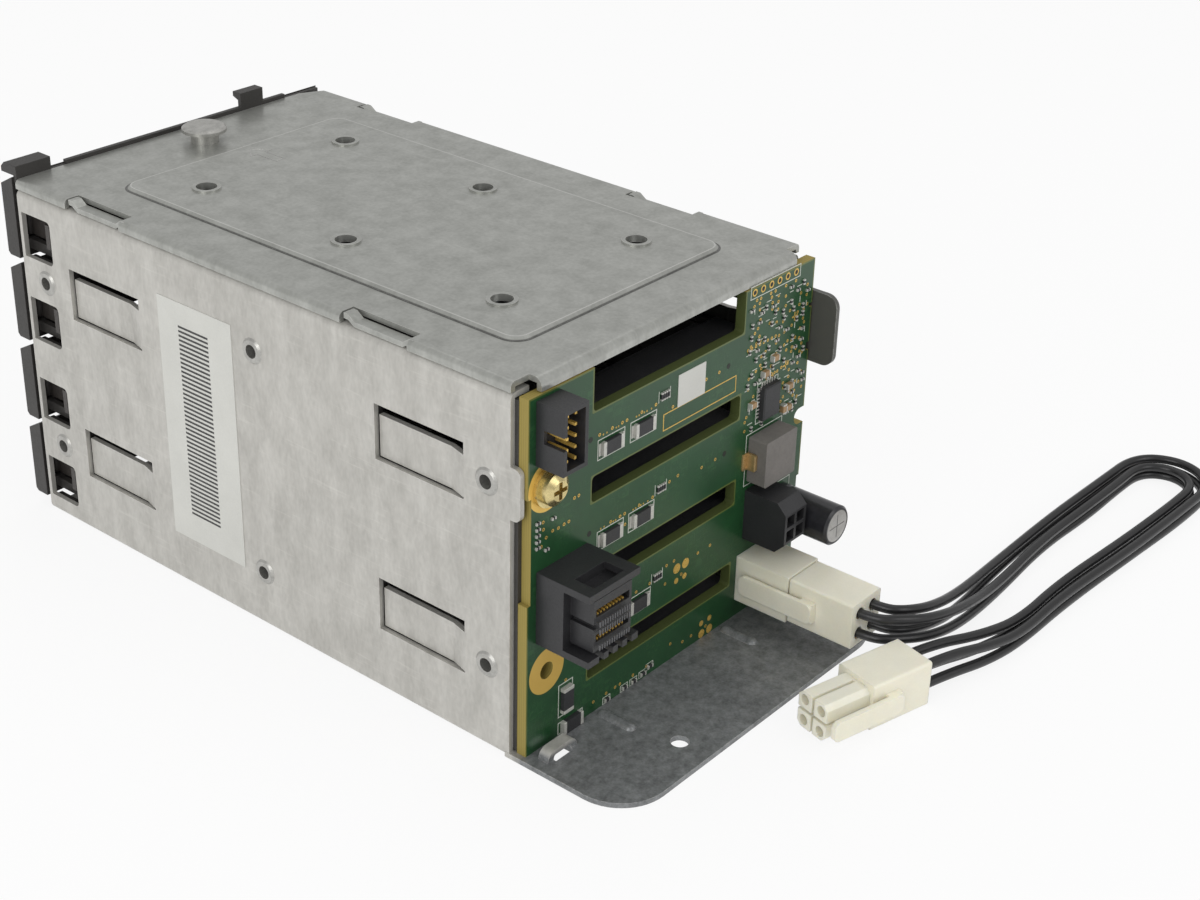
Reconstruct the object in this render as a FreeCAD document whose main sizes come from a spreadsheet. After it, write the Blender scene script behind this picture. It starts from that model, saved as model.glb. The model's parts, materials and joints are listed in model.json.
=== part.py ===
import FreeCAD, Part

import math
import os
import re

import Sketcher
from FreeCAD import Placement, Rotation, Vector

# A four-bay hot swap drive cage: a folded steel case with a slide-on cover and a rear tray, moulded
# guides, a backplane board with its connectors, four carriers with release levers, and a power lead.
# Frame: X = 0 on the centre plane, Y = 0 at the front edge of the case, Z = 0 on its underside.
# Carriers leave the case along -Y. Lengths are millimetres.

SIZES = {
    # folded case
    "case_depth": 126.4,
    "cover_drop": 1.1,
    "sheet_t": 1.0,
    "fold_r": 1.4,
    "seam_gap": 0.15,
    "flange_width": 4.3,
    "flange_start": 12.0,
    # tray behind the case
    "tray_depth": 152.5,
    "tray_corner_r": 9.5,
    "tray_hole_r": 1.65,
    "tray_hole_x": 16.7,
    "tray_hole_y": 146.0,
    "tray_rib_r": 1.2,
    "tray_rib_rise": 0.8,
    "tray_rib_start": 131.0,
    "tray_rib_length": 6.0,
    "tray_rib_right_x": 19.3,
    "tray_rib_left_x": -16.5,
    "bridge_low_x": 29.0,
    "bridge_width": 7.5,
    "bridge_y": 131.0,
    "bridge_length": 2.2,
    "bridge_rise": 1.9,
    # openings and lances in the side walls
    "window_front": 0.85,
    "window_length": 8.6,
    "window_height": 9.0,
    "window_drop": 2.62,
    "window_corner_r": 1.0,
    "flap_front_y": 14.2,
    "flap_rear_y": 95.8,
    "flap_length": 20.4,
    "flap_low_z": 12.9,
    "flap_high_z": 46.9,
    "flap_height": 10.5,
    "flap_slot": 2.3,
    "flap_sink": 0.9,
    "flap_ramp": 3.5,
    "flap_gap": 0.35,
    "tab_right_reach": 2.1,
    "tab_right_z": 47.0,
    "tab_right_height": 9.6,
    "tab_left_start": 124.0,
    "tab_left_reach": 8.1,
    "tab_left_z": 48.2,
    "tab_left_height": 14.2,
    "tab_left_slit": 0.4,
    "tab_corner_r": 2.5,
    # rivets that hold the guides
    "rivet_front_y": 6.85,
    "rivet_mid_y": 65.7,
    "rivet_rear_y": 121.3,
    "rivet_low_z": 17.0,
    "rivet_high_z": 52.2,
    "rivet_mid_low_z": 12.0,
    "rivet_mid_high_z": 57.1,
    "rivet_head_r": 2.5,
    "rivet_head_t": 0.35,
    "rivet_shank_r": 1.8,
    "rivet_bore_r": 1.3,
    "rivet_fit": 0.02,
    "rivet_bevel": 0.4,
    # cover
    "curl_height": 1.8,
    "cover_edge_r": 1.0,
    "lip_reach": 2.6,
    "lip_width": 69.0,
    "lip_height": 2.3,
    "lip_r": 1.6,
    "cover_cut_x": 5.7,
    "cover_cut_y": 2.7,
    "panel_width": 56.0,
    "panel_front": 17.3,
    "panel_length": 100.7,
    "panel_rise": 0.6,
    "panel_corner_r": 3.5,
    "cover_hole_r": 2.0,
    "cover_hole_rim_r": 2.75,
    "cover_hole_rim": 0.35,
    "cover_hole_x": 17.8,
    "cover_hole_y": 30.25,
    "cover_hole_pitch": 37.54,
    "notch_front_y": 15.0,
    "notch_rear_y": 88.2,
    "notch_length": 15.6,
    "notch_width": 3.3,
    "tongue_width": 2.2,
    "stud_y": 8.6,
    "stud_head_r": 4.45,
    "stud_head_t": 1.0,
    "stud_neck_r": 2.8,
    "stud_neck_height": 2.2,
    "stud_shank_r": 1.98,
    # bays
    "bay_count": 4,
    "bay_pitch": 17.5,
    "bay_start": 2.6,
    "bezel_height": 16.6,
    "bezel_t": 3.6,
    "bezel_gap": 1.1,
    "bezel_slope": 2.0,
    "drive_width": 70.0,
    "rail_t": 1.2,
    "rail_height": 9.6,
    "rail_end": 112.0,
    "cheek_height": 13.8,
    "cheek_end": 11.5,
    "drive_hole_r": 1.6,
    "drive_hole_front_y": 28.8,
    "drive_hole_rear_y": 105.4,
    "drive_hole_drop": 4.5,
    # guides
    "rail_play": 0.2,
    "web_t": 1.4,
    "rail_lift": 0.15,
    "guide_rib_t": 1.2,
    "guide_rib_start": 12.3,
    "guide_rib_end": 112.0,
    "guide_front": 0.6,
    "guide_low": 1.5,
    "guide_top_gap": 0.25,
    "boss_r": 3.0,
    "boss_length": 7.6,
    "pilot_r": 1.35,
    # release lever and button
    "lever_t": 2.3,
    "lever_height": 9.4,
    "lever_play": 0.2,
    "lever_end_x": -24.5,
    "pivot_x": 34.5,
    "pivot_y": -3.3,
    "eye_r": 1.3,
    "pin_r": 0.7,
    "pin_play": 0.05,
    "pin_length": 13.0,
    "hook_arm_x": 33.1,
    "hook_arm_t": 1.6,
    "hook_height": 5.0,
    "hook_tip_x": 37.5,
    "hook_tip_start": 5.3,
    "hook_tip_end": 8.5,
    "recess_floor": 0.8,
    "swing_room_x": 29.2,
    "vent_width": 3.2,
    "vent_height": 6.4,
    "vent_pitch": 5.0,
    "vent_start_x": -18.0,
    "vent_count": 6,
    "spring_width": 3.6,
    "spring_length": 14.0,
    "spring_x": 12.0,
    "spring_t": 0.25,
    "spring_bow": 0.1,
    "button_x": -30.0,
    "button_width": 7.0,
    "button_height": 8.0,
    "button_proud": 0.2,
    "button_rim": 0.9,
    "button_rim_t": 0.8,
    # trim along the cover's front edge
    "trim_t": 0.9,
    "trim_rise": 0.8,
    "trim_drop": 0.9,
    "trim_right_x": 27.0,
    "trim_left_x": -29.0,
    "trim_block_x": 30.5,
    "trim_block_rise": 2.5,
    "trim_block_lift": 0.3,
    "trim_hook_x": -23.0,
    "trim_hook_width": 6.0,
    "trim_hook_rise": 3.7,
    "clip_width": 6.0,
    "clip_length": 4.0,
    "clip_pitch": 24.0,
    # backplane board
    "board_gap": 0.8,
    "board_t": 2.0,
    "board_top_drop": 2.5,
    "board_over": 1.3,
    "board_tab_gap": 0.3,
    "board_step": 0.7,
    "board_step_z": 24.1,
    "board_edge_gap": 0.1,
    "board_recess": 0.8,
    "board_recess_z": 31.0,
    "board_recess_height": 20.0,
    "slot_left_x": -19.1,
    "slot_width": 41.0,
    "slot_height": 4.9,
    "slot_low_z": 8.8,
    "slot_pitch": 17.6,
    "slot_top_z": 61.0,
    "board_notch_r": 1.65,
    "board_notch_z": 37.2,
    "board_notch_depth": 3.05,
    "board_relief": 0.9,
    "board_relief_low_z": 50.6,
    "board_relief_low_height": 1.7,
    "board_relief_high_z": 59.4,
    "board_relief_high_height": 0.8,
    "screw_x": 33.0,
    "screw_z": 52.0,
    "spare_hole_x": 32.6,
    "spare_hole_z": 16.2,
    "screw_hole_r": 1.6,
    "screw_head_r": 2.9,
    "screw_head_t": 2.0,
    "screw_shank_r": 1.3,
    "screw_length": 8.0,
    "washer_r": 3.6,
    "washer_t": 0.8,
    # drive connectors on the board's front
    "drive_plug_width": 43.0,
    "drive_plug_height": 5.4,
    "drive_plug_depth": 7.8,
    "drive_plug_z": 3.0,
    "tongue_slot_width": 34.0,
    "tongue_slot_height": 2.2,
    "tongue_slot_depth": 5.0,
    # small header at the top
    "signal_x": 33.0,
    "signal_z": 62.45,
    "signal_width": 5.9,
    "signal_height": 11.5,
    "signal_depth": 5.8,
    "signal_wall": 0.8,
    "signal_pin": 0.5,
    "signal_pitch": 2.0,
    # data connector
    "data_low_x": 22.7,
    "data_width": 12.8,
    "data_low_z": 23.0,
    "data_height": 13.8,
    "data_depth": 11.4,
    "data_wall": 1.3,
    "data_side_depth": 5.9,
    "data_block_width": 10.2,
    "data_slot_width": 8.4,
    "data_slot_height": 1.5,
    "data_slot_pitch": 4.8,
    "data_slot_depth": 8.0,
    "data_contact_count": 9,
    "data_contact_pitch": 0.8,
    "data_contact": 0.35,
    # power headers
    "aux_x": -25.8,
    "aux_z": 22.75,
    "aux_width": 6.6,
    "aux_height": 10.3,
    "aux_depth": 9.4,
    "aux_bevel": 2.0,
    "aux_pitch": 3.0,
    "aux_cell": 2.3,
    "aux_pin": 0.65,
    "main_x": -26.0,
    "main_z": 9.5,
    "main_size": 9.6,
    "main_depth": 11.8,
    "main_wall": 0.85,
    "main_floor": 1.4,
    "main_pitch": 4.2,
    "main_pin_r": 0.55,
    "main_pin_length": 7.5,
    # plugs and their wires
    "plug_play": 0.3,
    "plug_size": 9.2,
    "plug_body": 13.9,
    "plug_nose": 10.0,
    "plug_cell_r": 1.0,
    "plug_back_cell_r": 1.15,
    "plug_back_cell": 1.2,
    "plug_split": 0.6,
    "latch_gap": 0.6,
    "latch_t": 1.0,
    "latch_width": 4.0,
    "latch_length": 16.4,
    "latch_foot": 3.0,
    "terminal_r": 0.93,
    "terminal_bore_r": 0.64,
    "terminal_length": 6.0,
    "free_plug_x": -10.2,
    "free_plug_y": 163.9,
    "free_plug_turn": 76.0,
    "wire_r": 0.95,
    # parts soldered to the board
    "cap_x": -33.9,
    "cap_z": 20.6,
    "cap_r": 3.95,
    "cap_length": 13.4,
    "coil_low_x": -32.2,
    "coil_width": 9.5,
    "coil_low_z": 29.6,
    "coil_height": 9.3,
    "coil_depth": 4.1,
    "chip_low_x": -30.0,
    "chip_width": 5.0,
    "chip_low_z": 41.6,
    "chip_height": 6.6,
    "chip_t": 1.4,
    "shunt_width": 5.0,
    "shunt_height": 2.5,
    "shunt_t": 0.65,
    "fuse_width": 2.5,
    "fuse_length": 5.0,
    "upright_fuse_x": 27.6,
    "upright_fuse_z": 8.0,
    "lying_fuse_x": 26.2,
    "lying_fuse_z": 2.3,
    "fuse_t": 0.9,
    # labels
    "label_t": 0.12,
    "label_y": 40.3,
    "label_length": 20.0,
    "label_z": 10.8,
    "label_height": 49.6,
    "sticker_x": -8.1,
    "sticker_width": 7.6,
    "sticker_z": 53.4,
    "sticker_height": 6.1,
}

# What follows from the sizes: the case is as wide as a drive, its carrier and the guides,
# and as high as its bays.
DERIVED = {
    "case_width": "(drive_width + 2 * (rail_t + rail_play + web_t + sheet_t))",
    "case_height": "(bay_start + bay_count * bay_pitch - cover_drop)",
    "tab_left_offset": "(board_over + board_tab_gap + sheet_t)",
    "board_left_x": "(-case_width / 2 - board_over)",
    "board_top": "(case_height - board_top_drop)",
    "trim_top": "(case_height + trim_rise)",
    "trim_low": "(case_height - trim_drop)",
    "trim_block_top": "(case_height + trim_block_rise)",
    "trim_hook_top": "(case_height + trim_hook_rise)",
}

doc = FreeCAD.newDocument("drive_cage")
sheet = doc.addObject("Spreadsheet::Sheet", "dims")
for row, (alias, size) in enumerate(SIZES.items(), start=1):
    sheet.set(f"A{row}", alias)
    sheet.set(f"B{row}", str(size))
    sheet.setAlias(f"B{row}", alias)
doc.recompute()

pieces = []


# ---------------------------------------------------------------- helpers

def tied(expression):
    """Point every size name in an expression at its cell of the sheet."""
    expression = str(expression)
    while any(re.search(rf"\b{name}\b", expression) for name in DERIVED):
        for name, meaning in DERIVED.items():
            expression = re.sub(rf"\b{name}\b", meaning, expression)
    return re.sub(r"[a-z]\w*",
                  lambda word: "dims." + word.group() if word.group() in SIZES else word.group(),
                  expression)


def measure(expression):
    """The present value of an expression in the sheet's names."""
    return float(sheet.evalExpression(tied(expression)))


def bind(thing, prop, expression):
    thing.setExpression(prop, tied(expression))


def place(thing, x, y, z):
    for axis, where in zip("xyz", (x, y, z)):
        bind(thing, f"Placement.Base.{axis}", where)


def block(x, y, z, name="Block"):
    """A box between a low and a high place on each axis."""
    box = doc.addObject("Part::Box", name)
    for side, (low, high) in zip(("Length", "Width", "Height"), (x, y, z)):
        bind(box, side, f"({high}) - ({low})")
    place(box, x[0], y[0], z[0])
    return box


TURNS = {
    "x": Rotation(Vector(0, 1, 0), 90),
    "y": Rotation(Vector(1, 0, 0), -90),
    "z": Rotation(),
}


def rod(axis, centre, span, radius, name="Rod"):
    """A cylinder along an axis. The centre gives the two other places in X, Y, Z order."""
    bar = doc.addObject("Part::Cylinder", name)
    bind(bar, "Radius", radius)
    bind(bar, "Height", f"({span[1]}) - ({span[0]})")
    bar.Placement = Placement(Vector(), TURNS[axis])
    spot = list(centre)
    spot.insert("xyz".index(axis), span[0])
    place(bar, *spot)
    return bar


def join(*shapes, name="Join"):
    whole = doc.addObject("Part::MultiFuse", name)
    whole.Shapes = list(shapes)
    whole.Refine = True
    return whole


def group(*shapes, name="Group"):
    several = doc.addObject("Part::Compound", name)
    several.Links = list(shapes)
    return several


def carve(base, *tools, name="Carve"):
    """The base less the tools."""
    cut = doc.addObject("Part::Cut", name)
    cut.Base = base
    cut.Tool = tools[0] if len(tools) == 1 else group(*tools)
    cut.Refine = True
    return cut


PLANES = {
    "xy": Rotation(),
    "xz": Rotation(Vector(1, 0, 0), 90),
    "yz": Rotation(Vector(1, 1, 1), 120),
}


def outline(sketch, corners):
    """Draw a closed outline whose corners are held at places named in the sheet."""
    points = [Vector(measure(u), measure(v), 0) for u, v in corners]
    for start, end in zip(points, points[1:] + points[:1]):
        sketch.addGeometry(Part.LineSegment(start, end), False)
    count = len(points)
    for line in range(count):
        sketch.addConstraint(Sketcher.Constraint("Coincident", line, 2, (line + 1) % count, 1))
    for line, corner in enumerate(corners):
        for kind, axis, where in zip(("DistanceX", "DistanceY"), (-2, -1), corner):
            if where == "0":
                sketch.addConstraint(Sketcher.Constraint("PointOnObject", line, 1, axis))
                continue
            held = sketch.addConstraint(Sketcher.Constraint(kind, -1, 1, line, 1, measure(where)))
            bind(sketch, f"Constraints[{held}]", where)


def prism(plane, corners, low, high, name="Prism"):
    """A closed outline on a plane, extruded from a low to a high place on the third axis."""
    sketch = doc.addObject("Sketcher::SketchObject", name + "_outline")
    sketch.Placement = Placement(Vector(), PLANES[plane])
    axis = "xyz".replace(plane[0], "").replace(plane[1], "")
    bind(sketch, f"Placement.Base.{axis}", high if plane == "xz" else low)
    outline(sketch, corners)
    solid = doc.addObject("Part::Extrusion", name)
    solid.Base = sketch
    solid.DirMode = "Normal"
    solid.Solid = True
    bind(solid, "LengthFwd", f"({high}) - ({low})")
    return solid


def body_of(plane, corners, low, high, name):
    """A PartDesign body padded from an outline on one of its own origin planes."""
    body = doc.addObject("PartDesign::Body", name)
    role = plane.upper() + "_Plane"
    base_plane = next(item for item in body.Origin.OriginFeatures if item.Role == role)
    sketch = body.newObject("Sketcher::SketchObject", name + "_outline")
    sketch.AttachmentSupport = (base_plane, [""])
    sketch.MapMode = "FlatFace"
    bind(sketch, "AttachmentOffset.Base.z", f"-({high})" if plane == "xz" else low)
    outline(sketch, corners)
    pad = body.newObject("PartDesign::Pad", name + "_pad")
    pad.Profile = sketch
    bind(pad, "Length", f"({high}) - ({low})")
    doc.recompute()
    return body


def spun(profile, name):
    """A PartDesign body turned about Z from a half section of (radius, height) corners."""
    body = doc.addObject("PartDesign::Body", name)
    base_plane = next(item for item in body.Origin.OriginFeatures if item.Role == "XZ_Plane")
    sketch = body.newObject("Sketcher::SketchObject", name + "_section")
    sketch.AttachmentSupport = (base_plane, [""])
    sketch.MapMode = "FlatFace"
    outline(sketch, profile)
    turn = body.newObject("PartDesign::Revolution", name + "_turn")
    turn.Profile = sketch
    turn.ReferenceAxis = (sketch, ["V_Axis"])
    turn.Angle = 360
    doc.recompute()
    return body


def edges_where(shape, test):
    return [f"Edge{number}" for number, edge in enumerate(shape.Edges, start=1) if test(edge)]


def along(edge, axis):
    """Whether a straight edge runs along the axis."""
    if not isinstance(edge.Curve, (Part.Line, Part.LineSegment)):
        return False
    step = edge.Vertexes[-1].Point - edge.Vertexes[0].Point
    side = [abs(part) for part in step]
    return side["xyz".index(axis)] > 0.999 * sum(side)


def near(edge, **where):
    """Whether an edge's middle lies at the given places."""
    middle = edge.valueAt((edge.FirstParameter + edge.LastParameter) / 2)
    return all(abs(getattr(middle, axis) - measure(spot)) < 0.02 for axis, spot in where.items())


def body_fillet(body, radius, test, name):
    """Round the edges of a body that pass the test."""
    last = body.Tip
    found = edges_where(last.Shape, test)
    soft = body.newObject("PartDesign::Fillet", name)
    soft.Base = (last, found)
    bind(soft, "Radius", radius)
    doc.recompute()


def rounded(base, radius, test, name="Rounded"):
    """Round the edges of a plain solid that pass the test."""
    doc.recompute()
    size = measure(radius)
    soft = doc.addObject("Part::Fillet", name)
    soft.Base = base
    soft.Edges = [(int(edge[4:]), size, size) for edge in edges_where(base.Shape, test)]
    return soft


def bevelled(base, size_name, test, name="Bevelled"):
    doc.recompute()
    size = measure(size_name)
    cut = doc.addObject("Part::Chamfer", name)
    cut.Base = base
    cut.Edges = [(int(edge[4:]), size, size) for edge in edges_where(base.Shape, test)]
    return cut


def mirrored(source, name="Mirrored"):
    """The same solid on the other side of the centre plane."""
    twin = doc.addObject("Part::Mirroring", name)
    twin.Source = source
    twin.Normal = Vector(1, 0, 0)
    return twin


def piece(thing, label):
    """List a finished sub-part under the name of its file."""
    thing.Label = label
    pieces.append(thing)
    return thing


# ---------------------------------------------------------------- places that several pieces share

HALF = "case_width / 2"
INSIDE = "(case_width / 2 - sheet_t)"
WALL_TOP = "(case_height - curl_height - seam_gap)"
COVER_UNDER = "(case_height - sheet_t)"
BOARD_FRONT = "(case_depth + board_gap)"
BOARD_REAR = "(case_depth + board_gap + board_t)"
BEZEL_BACK = "-bezel_gap"
BEZEL_FRONT = "-(bezel_gap + bezel_t)"
RAIL_INNER = "(drive_width / 2)"
RAIL_OUTER = "(drive_width / 2 + rail_t)"
WEB_INNER = "(drive_width / 2 + rail_t + rail_play)"
PIN_BORE = "(pin_r + pin_play)"

BAYS = range(int(SIZES["bay_count"]))


def bay_middle(bay):
    return f"(bay_start + bezel_height / 2 + {bay} * bay_pitch)"


def window_middle(bay):
    return f"(bay_start + bezel_height / 2 - window_drop + {bay} * bay_pitch)"


FLAPS = [(y, z) for y in ("flap_front_y", "flap_rear_y") for z in ("flap_low_z", "flap_high_z")]
RIVETS = [("rivet_front_y", "rivet_low_z"), ("rivet_front_y", "rivet_high_z"),
          ("rivet_mid_y", "rivet_mid_low_z"), ("rivet_mid_y", "rivet_mid_high_z"),
          ("rivet_rear_y", "rivet_low_z"), ("rivet_rear_y", "rivet_high_z")]
NOTCHES = ["notch_front_y", "notch_rear_y"]


# ---------------------------------------------------------------- case

def case_fold():
    """The base and both walls as one fold, with the flanges that carry the cover."""
    flange = f"({INSIDE} - flange_width + sheet_t)"
    right = [(HALF, "0"), (HALF, WALL_TOP), (flange, WALL_TOP), (flange, f"{WALL_TOP} - sheet_t"),
             (INSIDE, f"{WALL_TOP} - sheet_t"), (INSIDE, "sheet_t")]
    left = [(f"-({x})", z) for x, z in reversed(right)]
    fold = body_of("xz", right + left, "0", "case_depth", "case_fold")
    body_fillet(fold, "fold_r",
                lambda edge: along(edge, "y") and (near(edge, z="0") or near(edge, z=WALL_TOP))
                and (near(edge, x=HALF) or near(edge, x=f"-{HALF}")), "outer_bends")
    body_fillet(fold, "fold_r - sheet_t", lambda edge: along(edge, "y") and near(edge, z="sheet_t"),
                "inner_bends")
    reliefs = [block((f"-{INSIDE}", INSIDE), ("-1", "flange_start"),
                     (f"{WALL_TOP} - 2 * sheet_t", "case_height"))]
    return carve(fold, *reliefs, name="fold_with_reliefs")


def tray():
    """The base carried on behind the case, with two stiffening ribs and a lanced bridge."""
    plate = block((f"-{HALF}", HALF), ("case_depth - sheet_t", "tray_depth"), ("0", "sheet_t"), "tray_plate")
    plate = rounded(plate, "tray_corner_r", lambda edge: along(edge, "z") and near(edge, y="tray_depth"))
    ribs = []
    rib_z = "(sheet_t + tray_rib_rise - tray_rib_r)"
    for x in ("tray_rib_right_x", "tray_rib_left_x"):
        end = "(tray_rib_start + tray_rib_length)"
        ribs.append(rod("y", (x, rib_z), ("tray_rib_start", end), "tray_rib_r"))
        for y in ("tray_rib_start", end):
            ball = doc.addObject("Part::Sphere", "rib_end")
            bind(ball, "Radius", "tray_rib_r")
            place(ball, x, y, rib_z)
            ribs.append(ball)
    below = block((f"-{HALF}", HALF), ("case_depth", "tray_depth"), ("-2 * tray_rib_r", "0"))
    bridge_end = "(bridge_low_x + bridge_width)"
    bridge = block(("bridge_low_x", bridge_end), ("bridge_y", "bridge_y + bridge_length"),
                   ("0", "sheet_t + bridge_rise"), "bridge")
    bridge = rounded(bridge, "bridge_rise",
                     lambda edge: along(edge, "y") and near(edge, z="sheet_t + bridge_rise"))
    slot = block(("bridge_low_x + 1.5 * sheet_t", f"{bridge_end} - 1.5 * sheet_t"),
                 ("bridge_y - 0.5 * sheet_t", "bridge_y + bridge_length + 0.5 * sheet_t"),
                 ("-1", "bridge_rise"), "bridge_slot")
    slot = rounded(slot, "bridge_rise / 3", lambda edge: along(edge, "y") and near(edge, z="bridge_rise"))
    hole = rod("z", ("tray_hole_x", "tray_hole_y"), ("-1", "2 * sheet_t"), "tray_hole_r")
    return carve(join(plate, bridge, *ribs), below, slot, hole, name="tray")


def wall_flap(y, z):
    """A lanced flap: sunk inwards, free in front, joined to the wall by a ramp at its rear."""
    end = f"({y} + flap_length)"
    ramp = f"({end} - flap_ramp)"
    sunk = f"({HALF} - flap_sink)"
    corners = [(sunk, f"{y} + flap_gap"), (sunk, ramp), (HALF, end), (HALF, f"{end} + 0.5"),
               (INSIDE, f"{end} + 0.5"), (INSIDE, end), (f"{sunk} - sheet_t", ramp),
               (f"{sunk} - sheet_t", f"{y} + flap_gap")]
    return prism("xy", corners, f"{z} + flap_gap", f"{z} + flap_height - flap_slot", "flap")


def wall_openings(windows):
    """What is cut from the right wall: windows for the lever hooks, lances and rivet holes."""
    across = (f"{INSIDE} - 0.5", f"{HALF} + 0.5")
    cuts = []
    for y, z in FLAPS:
        cuts.append(block(across, (y, f"{y} + flap_length"), (z, f"{z} + flap_height"), "lance"))
    for y, z in RIVETS:
        cuts.append(rod("x", (y, z), across, "rivet_shank_r"))
    if windows:
        for bay in BAYS:
            middle = window_middle(bay)
            rear = "(window_front + window_length)"
            hole = block(across, ("window_front", rear),
                         (f"{middle} - window_height / 2", f"{middle} + window_height / 2"), "window")
            cuts.append(rounded(hole, "window_corner_r",
                                lambda edge: along(edge, "x") and near(edge, y=rear)))
    return cuts


def right_tab():
    """A short tab that carries the right wall on past its rear edge."""
    end = "(case_depth + tab_right_reach)"
    tab = block((INSIDE, HALF), ("case_depth - sheet_t", end),
                ("tab_right_z", "tab_right_z + tab_right_height"), "tab")
    return rounded(tab, "tab_corner_r / 2", lambda edge: along(edge, "x") and near(edge, y=end))


def left_tab():
    """A tab lanced from the left wall and stepped outwards, so that it passes outside the board's edge."""
    end = "(case_depth + tab_left_reach)"
    outer = f"({HALF} + tab_left_offset)"
    bent, lag = "(tab_left_start + tab_left_offset)", "0.414 * sheet_t"
    corners = [(HALF, "tab_left_start - sheet_t / 2"), (HALF, "tab_left_start"), (outer, bent), (outer, end),
               (f"{outer} - sheet_t", end), (f"{outer} - sheet_t", f"{bent} + {lag}"),
               (INSIDE, f"tab_left_start + {lag}"), (INSIDE, "tab_left_start - sheet_t / 2")]
    tab = prism("xy", corners, "tab_left_z", "tab_left_z + tab_left_height", "left_tab")
    return mirrored(rounded(tab, "tab_corner_r", lambda edge: along(edge, "x") and near(edge, y=end)))


def chassis_shell():
    left_cuts = [mirrored(cut) for cut in wall_openings(windows=False)]
    left_cuts.append(block((f"-{HALF} - 1", f"-{INSIDE} + 0.5"), ("tab_left_start", "case_depth + 1"),
                           ("tab_left_z - tab_left_slit", "tab_left_z + tab_left_height + tab_left_slit")))
    walls = carve(case_fold(), *wall_openings(windows=True), *left_cuts, name="cut_walls")
    flaps = [wall_flap(y, z) for y, z in FLAPS]
    return join(walls, tray(), *flaps, *[mirrored(flap) for flap in flaps], right_tab(), left_tab(),
                name="chassis")


# ---------------------------------------------------------------- cover

def cover_tongue(y):
    """A strip in the cover's side notch, sunk by one sheet and joined to the cover at both ends."""
    inner = f"({HALF} - notch_width + 0.5 * (notch_width - tongue_width))"
    start, end = f"({y} + 1.5 * sheet_t)", f"({y} + notch_length)"
    ramp = "1.5 * sheet_t"
    top, low = "(case_height - sheet_t)", "(case_height - 2 * sheet_t + seam_gap / 2)"
    corners = [(f"{start} - sheet_t", "case_height"), (start, "case_height"), (f"{start} + {ramp}", top),
               (f"{end} - {ramp}", top), (f"{end}", "case_height"), (f"{end} + sheet_t", "case_height"),
               (f"{end} + sheet_t", COVER_UNDER), (f"{end}", COVER_UNDER), (f"{end} - {ramp}", low),
               (f"{start} + {ramp}", low), (start, COVER_UNDER), (f"{start} - sheet_t", COVER_UNDER)]
    return prism("yz", corners, inner, f"{inner} + tongue_width", "tongue")


def cover_plate():
    """The flat top with its side curls, in one padded section."""
    right = [(HALF, "case_height"), (HALF, "case_height - curl_height"),
             (INSIDE, "case_height - curl_height"),
             (INSIDE, COVER_UNDER)]
    left = [(f"-({x})", z) for x, z in reversed(right)]
    plate = body_of("xz", right + left, "0", "case_depth", "cover_plate")
    body_fillet(plate, "cover_edge_r",
                lambda edge: along(edge, "y") and near(edge, z="case_height"), "cover_bends")
    return plate


def cover_lip():
    """The rear edge, bent down over the top of the board."""
    end = "(case_depth + lip_reach)"
    corners = [("case_depth - sheet_t", COVER_UNDER), ("case_depth - sheet_t", "case_height"),
               (end, "case_height"), (end, "case_height - lip_height"),
               (f"{end} - sheet_t", "case_height - lip_height"), (f"{end} - sheet_t", COVER_UNDER)]
    lip = prism("yz", corners, "-lip_width / 2", "lip_width / 2", "lip")
    return rounded(lip, "lip_r", lambda edge: along(edge, "x") and near(edge, y=end, z="case_height"))


def top_cover():
    panel = block(("-panel_width / 2", "panel_width / 2"), ("panel_front", "panel_front + panel_length"),
                  (COVER_UNDER, "case_height + panel_rise"), "panel")
    panel = rounded(panel, "panel_corner_r", lambda edge: along(edge, "z"))
    panel = bevelled(panel, "panel_rise", lambda edge: near(edge, z="case_height + panel_rise"))
    hollow = block(("-panel_width / 2 + sheet_t", "panel_width / 2 - sheet_t"),
                   ("panel_front + sheet_t", "panel_front + panel_length - sheet_t"),
                   (f"{COVER_UNDER} - 1", f"{COVER_UNDER} + panel_rise"), "panel_hollow")
    hollow = rounded(hollow, "panel_corner_r - sheet_t", lambda edge: along(edge, "z"))
    rims, holes = [], []
    panel_top = "(case_height + panel_rise)"
    for side in ("-cover_hole_x", "cover_hole_x"):
        for row in range(3):
            spot = (side, f"cover_hole_y + {row} * cover_hole_pitch")
            rims.append(rod("z", spot, (f"{panel_top} - 0.5 * sheet_t", f"{panel_top} + cover_hole_rim"),
                            "cover_hole_rim_r"))
            holes.append(rod("z", spot, (f"{COVER_UNDER} - 1", f"{panel_top} + 1"), "cover_hole_r"))
    stud_hole = rod("z", ("0", "stud_y"), (f"{COVER_UNDER} - 1", "case_height + 1"), "stud_shank_r + 0.02")
    notches, tongues = [], []
    for y in NOTCHES:
        notch = block((f"{HALF} - notch_width", f"{HALF} + 1"), (y, f"{y} + notch_length"),
                      ("case_height - curl_height - 1", "case_height + 1"), "notch")
        tongue = cover_tongue(y)
        notches += [notch, mirrored(notch)]
        tongues += [tongue, mirrored(tongue)]
    corner = prism("xy",
                   [(f"-{HALF} - 1", "-1"), (f"-{HALF} - 1", f"cover_cut_y + cover_cut_y / cover_cut_x"),
                          (f"-{HALF}", "cover_cut_y"), (f"-{HALF} + cover_cut_x", "0"),
                          (f"-{HALF} + cover_cut_x", "-1")], "0", "case_height + 1", "corner_cut")
    plate = join(cover_plate(), cover_lip(), panel, *rims, name="cover_sheet")
    plate = carve(plate, hollow, *holes, stud_hole, *notches, corner, name="cover_cut")
    return join(plate, *tongues, name="cover")


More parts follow.
